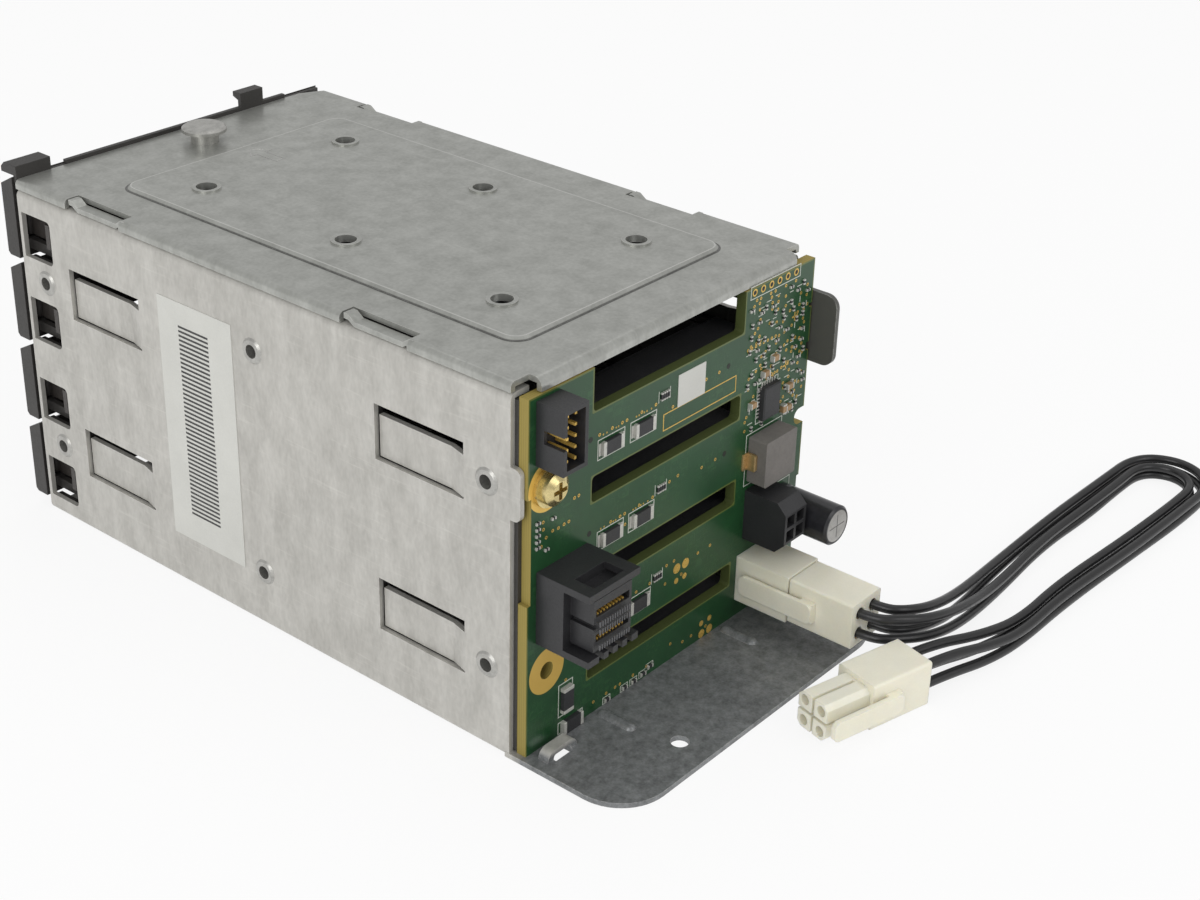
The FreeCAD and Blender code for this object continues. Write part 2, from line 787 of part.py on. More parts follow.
def cover_stud():
    """The mushroom stud riveted into the cover."""
    base = "case_height"
    neck = f"{base} + stud_neck_height"
    rivet_low = f"{COVER_UNDER} - 0.6"
    profile = [("0", rivet_low), ("stud_shank_r + 0.6", rivet_low), ("stud_shank_r + 0.6", COVER_UNDER),
               ("stud_shank_r", COVER_UNDER), ("stud_shank_r", base), ("stud_neck_r", base),
               ("stud_neck_r", neck), ("stud_head_r", neck), ("stud_head_r", f"{neck} + 0.6 * stud_head_t"),
               ("stud_head_r - 0.5", f"{neck} + stud_head_t"), ("0", f"{neck} + stud_head_t")]
    stud = spun(profile, "stud")
    place(stud, "0", "stud_y", "0")
    return stud


def front_trim():
    """The moulded strip along the cover's front edge, with its end block, hook and clips."""
    span_y = ("-(trim_t + 0.05)", "-0.05")
    bar = block((f"-{HALF} + 0.4", f"{HALF} - 0.4"), span_y, ("trim_low", "case_height"), "bar")
    strip = block(("trim_left_x", "trim_right_x"), span_y, ("trim_low", "trim_top"), "strip")
    block_low = "(bay_start + (bay_count - 1) * bay_pitch + bezel_height + trim_block_lift)"
    end_block = prism("yz", [("-(bezel_gap + bezel_t)", block_low), ("-0.05", block_low),
                             ("-0.05", "trim_block_top"),
                             ("-(bezel_gap + bezel_t - 1)", "trim_block_top"),
                             ("-(bezel_gap + bezel_t)", "trim_block_top - 1")],
                      "trim_block_x", f"{HALF} - 0.4", "end_block")
    end_post = block(("trim_block_x", f"{HALF} - 0.4"), span_y, ("trim_low", "trim_block_top"), "end_post")
    hook_end = "(trim_hook_x + trim_hook_width)"
    hook = prism("yz",
                 [("-0.05", "trim_low"), ("-0.05", "trim_hook_top"), ("-(trim_t + 1.55)", "trim_hook_top"),
                        ("-(trim_t + 1.55)", "trim_hook_top - 1"),
                        ("-(trim_t + 0.05)", "trim_hook_top - 1.6"), ("-(trim_t + 0.05)", "trim_low")],
                 "trim_hook_x", hook_end, "hook")
    clips = []
    for side in (-1, 0, 1):
        middle = f"({side} * clip_pitch)"
        clips.append(block((f"{middle} - clip_width / 2", f"{middle} + clip_width / 2"),
                           ("-(trim_t + 0.05)", "clip_length"), (f"{COVER_UNDER} - 0.9", COVER_UNDER),
                           "clip"))
        clips.append(block((f"{middle} - clip_width / 2", f"{middle} + clip_width / 2"), span_y,
                           (f"{COVER_UNDER} - 0.9", "case_height"), "clip_root"))
    return join(bar, strip, end_block, end_post, hook, *clips, name="trim")


# ---------------------------------------------------------------- guides

def guide():
    """The right guide: a web along the wall, ribs above and below each rail, and two screw bosses."""
    web_top = f"({WALL_TOP} - sheet_t - guide_top_gap)"
    web = block((WEB_INNER, INSIDE), ("guide_front", BOARD_FRONT), ("guide_low", web_top), "web")
    ribs = []
    rib_inner = f"({RAIL_INNER} + rail_play)"
    for bay in BAYS:
        low = f"({bay_middle(bay)} - rail_height / 2 - rail_lift)"
        high = f"({bay_middle(bay)} + rail_height / 2 + rail_lift)"
        span = ("guide_rib_start", "guide_rib_end")
        ribs.append(block((rib_inner, WEB_INNER), span, (f"{low} - guide_rib_t", low), "rib"))
        if bay < BAYS[-1]:
            ribs.append(block((rib_inner, WEB_INNER), span, (high, f"{high} + guide_rib_t"), "rib"))
    cuts = []
    across = (f"{WEB_INNER} - 0.01", f"{HALF}")
    for bay in BAYS:
        middle = window_middle(bay)
        cuts.append(block(across, ("-1", "window_front + window_length + 1"),
                          (f"{middle} - window_height / 2 - 0.5", f"{middle} + window_height / 2 + 0.5")))
    for y, z in FLAPS:
        cuts.append(block(across, (f"{y} - 0.4", f"{y} + flap_length + 1"),
                          (f"{z} - 0.4", f"{z} + flap_height + 0.4")))
    for y, z in RIVETS:
        cuts.append(rod("x", (y, z), across, "rivet_shank_r"))
    return web, ribs, cuts


def guide_right():
    web, ribs, cuts = guide()
    boss_start = f"({BOARD_FRONT} - boss_length)"
    bosses, pilots = [], []
    for x, z in (("screw_x", "screw_z"), ("spare_hole_x", "spare_hole_z")):
        bosses.append(rod("y", (x, z), (boss_start, BOARD_FRONT), "boss_r"))
        bosses.append(block((x, f"{WEB_INNER} + 0.2"), (boss_start, BOARD_FRONT), (f"{z} - 1", f"{z} + 1")))
        pilots.append(rod("y", (x, z), (f"{boss_start} - 1", f"{BOARD_FRONT} + 1"), "pilot_r"))
    return carve(join(web, *ribs, *bosses), *cuts, *pilots, name="guide_right_cut")


def guide_left():
    web, ribs, cuts = guide()
    return mirrored(carve(join(web, *ribs), *cuts, name="guide_left_cut"))


def guide_rivets():
    """Tubular rivets through each wall and guide, open from end to end."""
    rivets = []
    length = f"({HALF} - {WEB_INNER})"
    for y, z in RIVETS:
        shank = "rivet_shank_r - rivet_fit"
        profile = [("rivet_bore_r", "0"), (shank, "0"), (shank, length), ("rivet_head_r", length),
                   ("rivet_head_r - rivet_bevel", f"{length} + rivet_head_t"),
                   ("rivet_bore_r", f"{length} + rivet_head_t")]
        rivet = spun(profile, "rivet")
        rivet.Placement = Placement(Vector(), TURNS["x"])
        place(rivet, WEB_INNER, y, z)
        rivets += [rivet, mirrored(rivet)]
    return group(*rivets)


# ---------------------------------------------------------------- board

def backplane_board():
    """The board: air slots, screw holes and the cut-outs that clear the case's tabs."""
    right = f"({INSIDE} - board_edge_gap)"
    corners = [("board_left_x + board_step", "sheet_t"), (right, "sheet_t"), (right, "board_recess_z"),
               (f"{right} - board_recess", "board_recess_z"),
               (f"{right} - board_recess", "board_recess_z + board_recess_height"),
               (right, "board_recess_z + board_recess_height"), (right, "board_top"),
               ("board_left_x", "board_top")]
    for relief in ("board_relief_high", "board_relief_low"):
        top = f"{relief}_z + {relief}_height"
        corners += [("board_left_x", top), ("board_left_x + board_relief", top),
                    ("board_left_x + board_relief", f"{relief}_z"), ("board_left_x", f"{relief}_z")]
    corners += [("board_left_x", "board_step_z"), ("board_left_x + board_step", "board_step_z")]
    plate = body_of("xz", corners, BOARD_FRONT, BOARD_REAR, "board_plate")
    through = (f"{BOARD_FRONT} - 1", f"{BOARD_REAR} + 1")
    notch_x = "(board_left_x + board_notch_depth - board_notch_r)"
    cuts = [rod("y", (notch_x, "board_notch_z"), through, "board_notch_r"),
            block(("board_left_x - 1", notch_x), through,
                  ("board_notch_z - board_notch_r", "board_notch_z + board_notch_r"), "notch_mouth")]
    across = ("slot_left_x", "slot_left_x + slot_width")
    for slot in range(len(BAYS) - 1):
        base = f"(slot_low_z + {slot} * slot_pitch)"
        opening = block(across, through, (base, f"{base} + slot_height"), "air_slot")
        cuts.append(rounded(opening, "0.8", lambda edge: along(edge, "y")))
    top_slot = block(across, through, ("slot_top_z", "board_top + 1"), "top_slot")
    cuts.append(rounded(top_slot, "0.8", lambda edge: along(edge, "y") and near(edge, z="slot_top_z")))
    for x, z in (("screw_x", "screw_z"), ("spare_hole_x", "spare_hole_z")):
        cuts.append(rod("y", (x, z), through, "screw_hole_r"))
    return carve(plate, *cuts, name="board")


def drive_connector(bay):
    """A receptacle on the board's front: a slotted bar between two guide horns."""
    low = f"(drive_plug_z + {bay} * bay_pitch)"
    high = f"({low} + drive_plug_height)"
    front = f"({BOARD_FRONT} - drive_plug_depth)"
    horn = "(drive_plug_width / 2 - tongue_slot_width / 2 - 0.8)"
    bar = block(("-drive_plug_width / 2", "drive_plug_width / 2"), (f"{front} + 1.6", BOARD_FRONT),
                (low, high), "bar")
    nose = block(("-tongue_slot_width / 2 - 0.8", "tongue_slot_width / 2 + 0.8"), (front, BOARD_FRONT),
                 (f"{low} + 0.5", f"{high} - 0.5"), "nose")
    horns = []
    for side in (-1, 1):
        edge = f"({side} * (drive_plug_width / 2 - {horn} / 2))"
        horns.append(block((f"{edge} - {horn} / 2 + 0.3", f"{edge} + {horn} / 2 - 0.3"),
                           (front, BOARD_FRONT),
                           (f"{low} + 1.2", f"{high} - 1.2"), "horn"))
    middle = f"(({low} + {high}) / 2)"
    slot = block(("-tongue_slot_width / 2", "tongue_slot_width / 2"),
                 (f"{front} - 1", f"{front} + tongue_slot_depth"),
                 (f"{middle} - tongue_slot_height / 2", f"{middle} + tongue_slot_height / 2"), "tongue_slot")
    return carve(join(bar, nose, *horns), slot, name="drive_connector")


def board_screw():
    """A pan head screw and its washer, driven through the board into the guide's boss."""
    tip = "-(board_t + screw_length - 2)"
    profile = [("0", tip), ("screw_shank_r", tip), ("screw_shank_r", "0"), ("washer_r", "0"),
               ("washer_r", "washer_t"),
               ("screw_head_r", "washer_t"), ("screw_head_r", "washer_t + 0.6 * screw_head_t"),
               ("0.6 * screw_head_r", "washer_t + screw_head_t"), ("0", "washer_t + screw_head_t")]
    screw = spun(profile, "screw")
    top = "(washer_t + screw_head_t)"
    cross = [block(("-0.4", "0.4"), ("-1.6", "1.6"), (f"{top} - 1.2", f"{top} + 1")),
             block(("-1.6", "1.6"), ("-0.4", "0.4"), (f"{top} - 1.2", f"{top} + 1"))]
    driven = carve(screw, *cross, name="driven_screw")
    driven.Placement = Placement(Vector(), Rotation(Vector(1, 0, 0), -90))
    place(driven, "screw_x", BOARD_REAR, "screw_z")
    return driven


def signal_header():
    """A shrouded header with two rows of pins."""
    x = ("signal_x - signal_width / 2", "signal_x + signal_width / 2")
    z = ("signal_z - signal_height / 2", "signal_z + signal_height / 2")
    shroud = block(x, (BOARD_REAR, f"{BOARD_REAR} + signal_depth"), z, "shroud")
    inner = block((f"{x[0]} + signal_wall", f"{x[1]} - signal_wall"),
                  (f"{BOARD_REAR} + signal_wall", f"{BOARD_REAR} + signal_depth + 1"),
                  (f"{z[0]} + signal_wall", f"{z[1]} - signal_wall"), "shroud_hollow")
    key = block((f"{x[1]} - 2 * signal_wall", f"{x[1]} + 1"),
                (f"{BOARD_REAR} + 2 * signal_wall", f"{BOARD_REAR} + signal_depth + 1"),
                ("signal_z - 1.2", "signal_z + 1.2"), "key")
    return carve(shroud, inner, key, name="signal_shroud")


def signal_pins():
    pins = []
    for column in (-0.5, 0.5):
        for row in (-2, -1, 0, 1, 2):
            x, z = f"(signal_x + {column} * signal_pitch)", f"(signal_z + {row} * signal_pitch)"
            pins.append(block((f"{x} - signal_pin / 2", f"{x} + signal_pin / 2"),
                              (f"{BOARD_REAR} + signal_wall", f"{BOARD_REAR} + signal_depth - 1"),
                              (f"{z} - signal_pin / 2", f"{z} + signal_pin / 2"), "pin"))
    return group(*pins)


def data_connector():
    """A two-port data receptacle: a shell with a cut-back side, round a block with two card slots."""
    x = ("data_low_x", "(data_low_x + data_width)")
    z = ("data_low_z", "(data_low_z + data_height)")
    end = f"({BOARD_REAR} + data_depth)"
    block_x = (f"{x[1]} - data_wall - data_block_width", f"({x[1]} - data_wall)")
    shell = block(x, (BOARD_REAR, end), z, "data_shell")
    hollow = block((f"{x[0]} - 1", f"{x[1]} - data_wall"), (f"{BOARD_REAR} + data_side_depth", f"{end} + 1"),
                   (f"{z[0]} + data_wall", f"{z[1]} - data_wall"), "data_hollow")
    side = block((f"{x[1]} - data_wall - 0.01", f"{x[1]} + 1"),
                 (f"{BOARD_REAR} + data_side_depth", f"{end} + 1"),
                 (f"{z[0]} + data_wall", f"{z[1]} - data_wall"), "open_side")
    ceiling = block((f"{x[0]} + 2 * data_wall", f"{x[1]} - 2 * data_wall"),
                    (f"{BOARD_REAR} + data_side_depth", f"{BOARD_REAR} + data_depth - data_wall"),
                    (f"{z[1]} - data_wall - 0.01", f"{z[1]} + 1"), "top_window")
    comb = [block((f"{x[0]} + {1.6 + 2.4 * tooth}", f"{x[0]} + {2.8 + 2.4 * tooth}"),
                  (f"{end} - 2.2", f"{end} + 1"),
                  (f"{z[0]} - 1", f"{z[0]} + data_wall + 0.01"), "comb") for tooth in range(4)]
    cut = carve(shell, hollow, side, ceiling, *comb, name="data_shell_cut")
    middle = f"(({z[0]} + {z[1]}) / 2)"
    core = block((block_x[0], f"{block_x[1]} - 0.6"), (BOARD_REAR, f"{end} - 0.6"),
                 (f"{z[0]} + 2 * data_wall - 0.6", f"{z[1]} - 2 * data_wall + 0.6"), "data_core")
    core_middle_x = f"(({block_x[0]} + {block_x[1]} - 0.6) / 2)"
    slots = []
    for side_of in (-0.5, 0.5):
        z_mid = f"({middle} + {side_of} * data_slot_pitch)"
        slots.append(block((f"{core_middle_x} - data_slot_width / 2",
                            f"{core_middle_x} + data_slot_width / 2"),
                           (f"{end} - 0.6 - data_slot_depth", f"{end} + 1"),
                           (f"{z_mid} - data_slot_height / 2", f"{z_mid} + data_slot_height / 2"),
                           "card_slot"))
    groove = block((f"{block_x[1]} - 1.4", f"{block_x[1]} + 1"),
                   (f"{BOARD_REAR} + data_side_depth", f"{end} + 1"),
                   (f"{middle} - 0.5", f"{middle} + 0.5"), "side_groove")
    return carve(join(cut, core), *slots, groove, name="data_receptacle")


def data_contacts():
    """Four rows of contacts, one above and one below each card slot."""
    block_low = "(data_low_x + data_width - data_wall - data_block_width)"
    middle_x = f"(({block_low} + data_low_x + data_width - data_wall - 0.6) / 2)"
    middle_z = "(data_low_z + data_height / 2)"
    end = f"({BOARD_REAR} + data_depth - 0.6)"
    contacts = []
    for port in (-0.5, 0.5):
        for row in (-1, 1):
            face = f"({middle_z} + {port} * data_slot_pitch + {row} * data_slot_height / 2)"
            low, high = (face, f"{face} + 0.3") if row < 0 else (f"{face} - 0.3", face)
            for number in range(int(SIZES["data_contact_count"])):
                x = f"({middle_x} + ({number} - (data_contact_count - 1) / 2) * data_contact_pitch)"
                contacts.append(block((f"{x} - data_contact / 2", f"{x} + data_contact / 2"),
                                      (f"{end} - data_slot_depth + 0.5", f"{end} - 0.5"), (low, high),
                                      "contact"))
    return group(*contacts)


def aux_power_header():
    x = ("aux_x - aux_width / 2", "aux_x + aux_width / 2")
    z = ("aux_z - aux_height / 2", "aux_z + aux_height / 2")
    end = f"({BOARD_REAR} + aux_depth)"
    shape = block(x, (BOARD_REAR, end), z, "aux_block")
    shape = bevelled(shape, "aux_bevel", lambda edge: along(edge, "x") and near(edge, y=end))
    cells = []
    for column in (-0.5, 0.5):
        for row in (-0.5, 0.5):
            cell_x, cell_z = f"(aux_x + {column} * aux_pitch)", f"(aux_z + {row} * aux_pitch)"
            cells.append(block((f"{cell_x} - aux_cell / 2", f"{cell_x} + aux_cell / 2"),
                               (f"{BOARD_REAR} + 2", f"{end} + 1"),
                               (f"{cell_z} - aux_cell / 2", f"{cell_z} + aux_cell / 2"), "cell"))
    return carve(shape, *cells, name="aux_header")


def aux_power_pins():
    pins = []
    for column in (-0.5, 0.5):
        for row in (-0.5, 0.5):
            x, z = f"(aux_x + {column} * aux_pitch)", f"(aux_z + {row} * aux_pitch)"
            pins.append(block((f"{x} - aux_pin / 2", f"{x} + aux_pin / 2"),
                              (f"{BOARD_REAR} + 2", f"{BOARD_REAR} + aux_depth - 1.6"),
                              (f"{z} - aux_pin / 2", f"{z} + aux_pin / 2"), "pin"))
    return group(*pins)


def main_power_header():
    """The white shroud that the power plug enters."""
    x = ("main_x - main_size / 2", "main_x + main_size / 2")
    z = ("main_z - main_size / 2", "main_z + main_size / 2")
    end = f"({BOARD_REAR} + main_depth)"
    shroud = block(x, (BOARD_REAR, end), z, "main_shroud")
    hollow = block((f"{x[0]} + main_wall", f"{x[1]} - main_wall"),
                   (f"{BOARD_REAR} + main_floor", f"{end} + 1"),
                   (f"{z[0]} + main_wall", f"{z[1]} - main_wall"), "main_hollow")
    return carve(shroud, hollow, name="main_header")


def main_power_pins():
    pins = []
    for column in (-0.5, 0.5):
        for row in (-0.5, 0.5):
            pins.append(rod("y", (f"main_x + {column} * main_pitch", f"main_z + {row} * main_pitch"),
                            (f"{BOARD_REAR} + main_floor", f"{BOARD_REAR} + main_floor + main_pin_length"),
                            "main_pin_r"))
    return group(*pins)


def capacitor():
    """An electrolytic can with its crimp groove, standing off the board along Y."""
    profile = [("0", "0"), ("cap_r", "0"), ("cap_r", "1.2"), ("cap_r - 0.3", "1.5"), ("cap_r - 0.3", "1.9"),
               ("cap_r", "2.2"), ("cap_r", "cap_length - 0.4"), ("cap_r - 0.4", "cap_length"),
               ("0", "cap_length")]
    can = spun(profile, "can")
    can.Placement = Placement(Vector(), Rotation(Vector(1, 0, 0), -90))
    place(can, "cap_x", BOARD_REAR, "cap_z")
    return can


def inductor():
    coil = block(("coil_low_x", "coil_low_x + coil_width"), (BOARD_REAR, f"{BOARD_REAR} + coil_depth"),
                 ("coil_low_z", "coil_low_z + coil_height"), "coil")
    return rounded(coil, "0.4", lambda edge: along(edge, "y"))


def controller_chip():
    chip = block(("chip_low_x", "chip_low_x + chip_width"), (BOARD_REAR, f"{BOARD_REAR} + chip_t"),
                 ("chip_low_z", "chip_low_z + chip_height"), "chip")
    end = f"{BOARD_REAR} + chip_t"
    return bevelled(chip, "0.25", lambda edge: near(edge, y=end))


def chip_part(x, z, width, height, depth):
    """A surface part on the board, placed by its middle."""
    return block((f"{x} - {width} / 2", f"{x} + {width} / 2"), (BOARD_REAR, f"{BOARD_REAR} + {depth}"),
                 (f"{z} - {height} / 2", f"{z} + {height} / 2"), "chip_part")


def shunt_resistors():
    return group(*[chip_part(x, z, "shunt_width", "shunt_height", "shunt_t") for x, z in SHUNTS])


def board_fuses():
    """One upright and one lying fuse at the board's foot."""
    return group(chip_part("upright_fuse_x", "upright_fuse_z", "fuse_width", "fuse_length", "fuse_t"),
                 chip_part("lying_fuse_x", "lying_fuse_z", "fuse_length", "fuse_width", "fuse_t"))


SHUNTS = [(17.15, 53.35), (8.7, 53.35), (16.75, 35.75), (8.4, 35.75), (8.4, 18.0)]


def side_label():
    return block((HALF, f"{HALF} + label_t"), ("label_y", "label_y + label_length"),
                 ("label_z", "label_z + label_height"), "label")


def board_sticker():
    return block(("sticker_x", "sticker_x + sticker_width"), (BOARD_REAR, f"{BOARD_REAR} + label_t"),
                 ("sticker_z", "sticker_z + sticker_height"), "sticker")


# ---------------------------------------------------------------- carriers

def vents(low, high, middle):
    slots = []
    for number in range(int(SIZES["vent_count"])):
        x = f"(vent_start_x + {number} * vent_pitch)"
        slots.append(block((x, f"{x} + vent_width"), (low, high),
                           (f"{middle} - vent_height / 2", f"{middle} + vent_height / 2"), "vent"))
    return slots


def carrier_frame(bay):
    """A bezel with a lever recess, and two side rails that hold a drive by its side screws."""
    middle = bay_middle(bay)
    low, high = f"({middle} - bezel_height / 2)", f"({middle} + bezel_height / 2)"
    bezel = prism("yz", [(BEZEL_BACK, low), (BEZEL_BACK, high), (BEZEL_FRONT, f"{high} - bezel_slope"),
                         (BEZEL_FRONT, f"{low} + 0.6"), (f"{BEZEL_FRONT} + 0.6", low)], f"-{HALF}", HALF,
                  "bezel")
    floor = f"({BEZEL_BACK} - recess_floor)"
    open_z = (f"{middle} - lever_height / 2 - lever_play", f"{middle} + lever_height / 2 + lever_play")
    recess = block(("lever_end_x - 3 * lever_play", "pivot_x + eye_r + 3 * lever_play"),
                   (f"{BEZEL_FRONT} - 1", floor), open_z, "recess")
    swing = block(("swing_room_x", "pivot_x + eye_r + 3 * lever_play"),
                  (f"{BEZEL_FRONT} - 1", f"{BEZEL_BACK} + 1"),
                  open_z, "swing_room")
    pin_hole = rod("z", ("pivot_x", "pivot_y"), (f"{middle} - pin_length / 2", f"{middle} + pin_length / 2"),
                   "pin_r")
    button_room = block(("button_x - button_width / 2 - lever_play",
                         "button_x + button_width / 2 + lever_play"),
                        (f"{BEZEL_FRONT} - 1", f"{BEZEL_BACK} + 1"),
                        (f"{middle} - button_height / 2 - lever_play",
                         f"{middle} + button_height / 2 + lever_play"))
    spring_seat = block(("spring_x - 0.2", "spring_x + spring_length + 0.2"),
                        (f"{floor} - 1", f"{floor} + spring_t"),
                        (f"{middle} - spring_width / 2 - 0.2", f"{middle} + spring_width / 2 + 0.2"))
    rails = []
    for side in (-1, 1):
        edge = (f"{side} * {RAIL_INNER}", f"{side} * {RAIL_OUTER}")
        span = edge if side > 0 else edge[::-1]
        rails.append(block(span, (f"{BEZEL_BACK} - 0.1", "rail_end"),
                           (f"{middle} - rail_height / 2", f"{middle} + rail_height / 2"), "rail"))
        rails.append(block(span, (f"{BEZEL_BACK} - 0.1", "cheek_end"),
                           (f"{middle} - cheek_height / 2", f"{middle} + cheek_height / 2"), "cheek"))
    hook_room = block((f"{RAIL_INNER} - 1", f"{RAIL_OUTER} + 1"),
                      (f"{BEZEL_BACK} - 0.2", "window_front + window_length + 0.5"), open_z, "hook_room")
    holes = [rod("x", (y, f"{middle} - drive_hole_drop + 0.5"), (f"-{RAIL_OUTER} - 1", f"{RAIL_OUTER} + 1"),
                 "drive_hole_r") for y in ("drive_hole_front_y", "drive_hole_rear_y")]
    cut = carve(join(bezel, *rails), recess, swing, pin_hole, button_room, spring_seat, hook_room, *holes,
                *vents(f"{floor} - 1", f"{BEZEL_BACK} + 0.5", middle), name="carrier")
    return cut


def release_lever(bay):
    """The lever across the bezel, with the hook that reaches back to the wall's window."""
    middle = bay_middle(bay)
    low, high = f"({middle} - lever_height / 2)", f"({middle} + lever_height / 2)"
    back = "(pivot_y + eye_r - 0.2)"
    front = f"({back} - lever_t)"
    bar = block(("lever_end_x", "pivot_x"), (front, back), (low, high), "bar")
    bar = rounded(bar, "0.6", lambda edge: along(edge, "z") and near(edge, x="lever_end_x"))
    eye = rod("z", ("pivot_x", "pivot_y"), (low, high), "eye_r", "eye")
    arm_inner, arm_outer = "hook_arm_x", "(hook_arm_x + hook_arm_t)"
    arm = prism("xy", [(arm_inner, front), (arm_outer, "pivot_y"), (arm_outer, "hook_tip_start"),
                       ("hook_tip_x", "hook_tip_start + 0.8"), ("hook_tip_x", "hook_tip_end - 1.2"),
                       (arm_outer, "hook_tip_end"), (arm_inner, "hook_tip_end")],
                low, f"{low} + hook_height", "hook_arm")
    bore = rod("z", ("pivot_x", "pivot_y"), (f"{low} - 1", f"{high} + 1"), PIN_BORE, "bore")
    return carve(join(bar, eye, arm), bore, *vents(f"{front} - 1", f"{back} + 1", middle), name="lever")


def lever_pin(bay):
    middle = bay_middle(bay)
    return rod("z", ("pivot_x", "pivot_y"), (f"{middle} - pin_length / 2", f"{middle} + pin_length / 2"),
               "pin_r",
               "pin")


def lever_spring(bay):
    """A bowed leaf spring seated behind the lever."""
    middle = bay_middle(bay)
    floor = f"({BEZEL_BACK} - recess_floor + spring_t)"
    end = "(spring_x + spring_length)"
    rise = f"({floor} - spring_bow)"
    corners = [("spring_x", floor), ("spring_x + 1.5", floor), ("spring_x + spring_length / 2", rise),
               (f"{end} - 1.5", floor), (end, floor), (end, f"{floor} - spring_t"),
               (f"{end} - 1.5", f"{floor} - spring_t"),
               ("spring_x + spring_length / 2", f"{rise} - spring_t"),
               ("spring_x + 1.5", f"{floor} - spring_t"),
               ("spring_x", f"{floor} - spring_t")]
    return prism("xy", corners, f"{middle} - spring_width / 2", f"{middle} + spring_width / 2", "leaf")


def release_button(bay):
    """The push button that frees the lever, kept in the bezel by a rim behind it."""
    middle = bay_middle(bay)
    cap = block(("button_x - button_width / 2", "button_x + button_width / 2"),
                (f"{BEZEL_FRONT} - button_proud", f"{BEZEL_BACK} + 0.15 + 0.1"),
                (f"{middle} - button_height / 2", f"{middle} + button_height / 2"), "cap")
    cap = rounded(cap, "0.5", lambda edge: near(edge, y=f"{BEZEL_FRONT} - button_proud"))
    rim = block(("button_x - button_width / 2 - button_rim", "button_x + button_width / 2 + button_rim"),
                (f"{BEZEL_BACK} + 0.15", f"{BEZEL_BACK} + 0.15 + button_rim_t"),
                (f"{middle} - button_height / 2 - button_rim", f"{middle} + button_height / 2 + button_rim"),
                "rim")
    return join(cap, rim, name="button")


# ---------------------------------------------------------------- power lead

def plug_shape():
    """A four-way plug: its nose towards -Y, its wires towards +Y, the origin at the nose's root."""
    half = "(plug_size / 2)"
    nose_half = "(main_size / 2 - main_wall - plug_play)"
    rear = "plug_body"
    body = block((f"-{half}", half), ("0", rear), (f"-{half}", half), "plug_body_block")
    body = rounded(body, "0.5", lambda edge: along(edge, "y"))
    nose = block((f"-{nose_half}", nose_half), ("-plug_nose", "1"), (f"-{nose_half}", nose_half),
                 "plug_nose_block")
    nose = bevelled(nose, "0.9", lambda edge: along(edge, "y"))
    arm_x = "(main_size / 2 + latch_gap)"
    arm = block((arm_x, f"{arm_x} + latch_t"), ("3 - latch_length + latch_foot", "3 + latch_foot"),
                ("-latch_width / 2", "latch_width / 2"), "latch_arm")
    arm = rounded(arm, "1.2", lambda edge: along(edge, "x"))
    foot = block((f"{half} - 0.5", f"{arm_x} + 0.5"), ("3", "3 + latch_foot"),
                 ("-latch_width / 2", "latch_width / 2"), "latch_foot_block")
    cuts = [block(("-plug_split / 2", "plug_split / 2"), ("-plug_nose - 1", "-0.6"), (f"-{half}", half),
                  "split"),
            block((f"-{half}", half), ("-plug_nose - 1", "-0.6"), ("-plug_split / 2", "plug_split / 2"),
                  "split")]
    for column in (-0.5, 0.5):
        for row in (-0.5, 0.5):
            spot = (f"{column} * main_pitch", f"{row} * main_pitch")
            cuts.append(rod("y", spot, ("-plug_nose - 1", "0.5"), "plug_cell_r"))
            cuts.append(rod("y", spot, (f"{rear} - plug_back_cell", f"{rear} + 1"), "plug_back_cell_r"))
    return carve(join(body, nose, arm, foot), *cuts, name="plug")


MATED_ROOT = f"({BOARD_REAR} + main_depth + plug_play)"
FREE_TURN = Rotation(Vector(0, 0, 1), measure("free_plug_turn"))


def mated_plug():
    plug = plug_shape()
    place(plug, "main_x", MATED_ROOT, "main_z")
    return plug


def free_plug():
    plug = plug_shape()
    plug.Placement = Placement(Vector(), FREE_TURN)
    place(plug, "free_plug_x", "free_plug_y", "plug_size / 2")
    return plug


def terminal_set():
    """Four contact tubes in the cells of a plug whose nose's root is at the origin."""
    tubes = []
    for column in (-0.5, 0.5):
        for row in (-0.5, 0.5):
            spot = (f"{column} * main_pitch", f"{row} * main_pitch")
            span = ("0.5 - terminal_length", "0.5")
            tubes.append(carve(rod("y", spot, span, "terminal_r"),
                               rod("y", spot, ("-plug_nose", "1"), "terminal_bore_r"),
                               name="terminal"))
    return tubes


def plug_terminals():
    mated, free = group(*terminal_set()), group(*terminal_set())
    place(mated, "main_x", MATED_ROOT, "main_z")
    free.Placement = Placement(Vector(), FREE_TURN)
    place(free, "free_plug_x", "free_plug_y", "plug_size / 2")
    return group(mated, free)


def cell_spot(column, row):
    """The middle of a cell's rear mouth on the two plugs: where a wire starts and where it ends."""
    across, up, back = column * measure("main_pitch"), row * measure("main_pitch"), measure("plug_body - plug_back_cell")
    start = Vector(measure("main_x") + across, measure(MATED_ROOT) + back, measure("main_z") + up)
    root = Vector(measure("free_plug_x"), measure("free_plug_y"), measure("plug_size / 2"))
    return start, root + FREE_TURN.multVec(Vector(across, back, up))


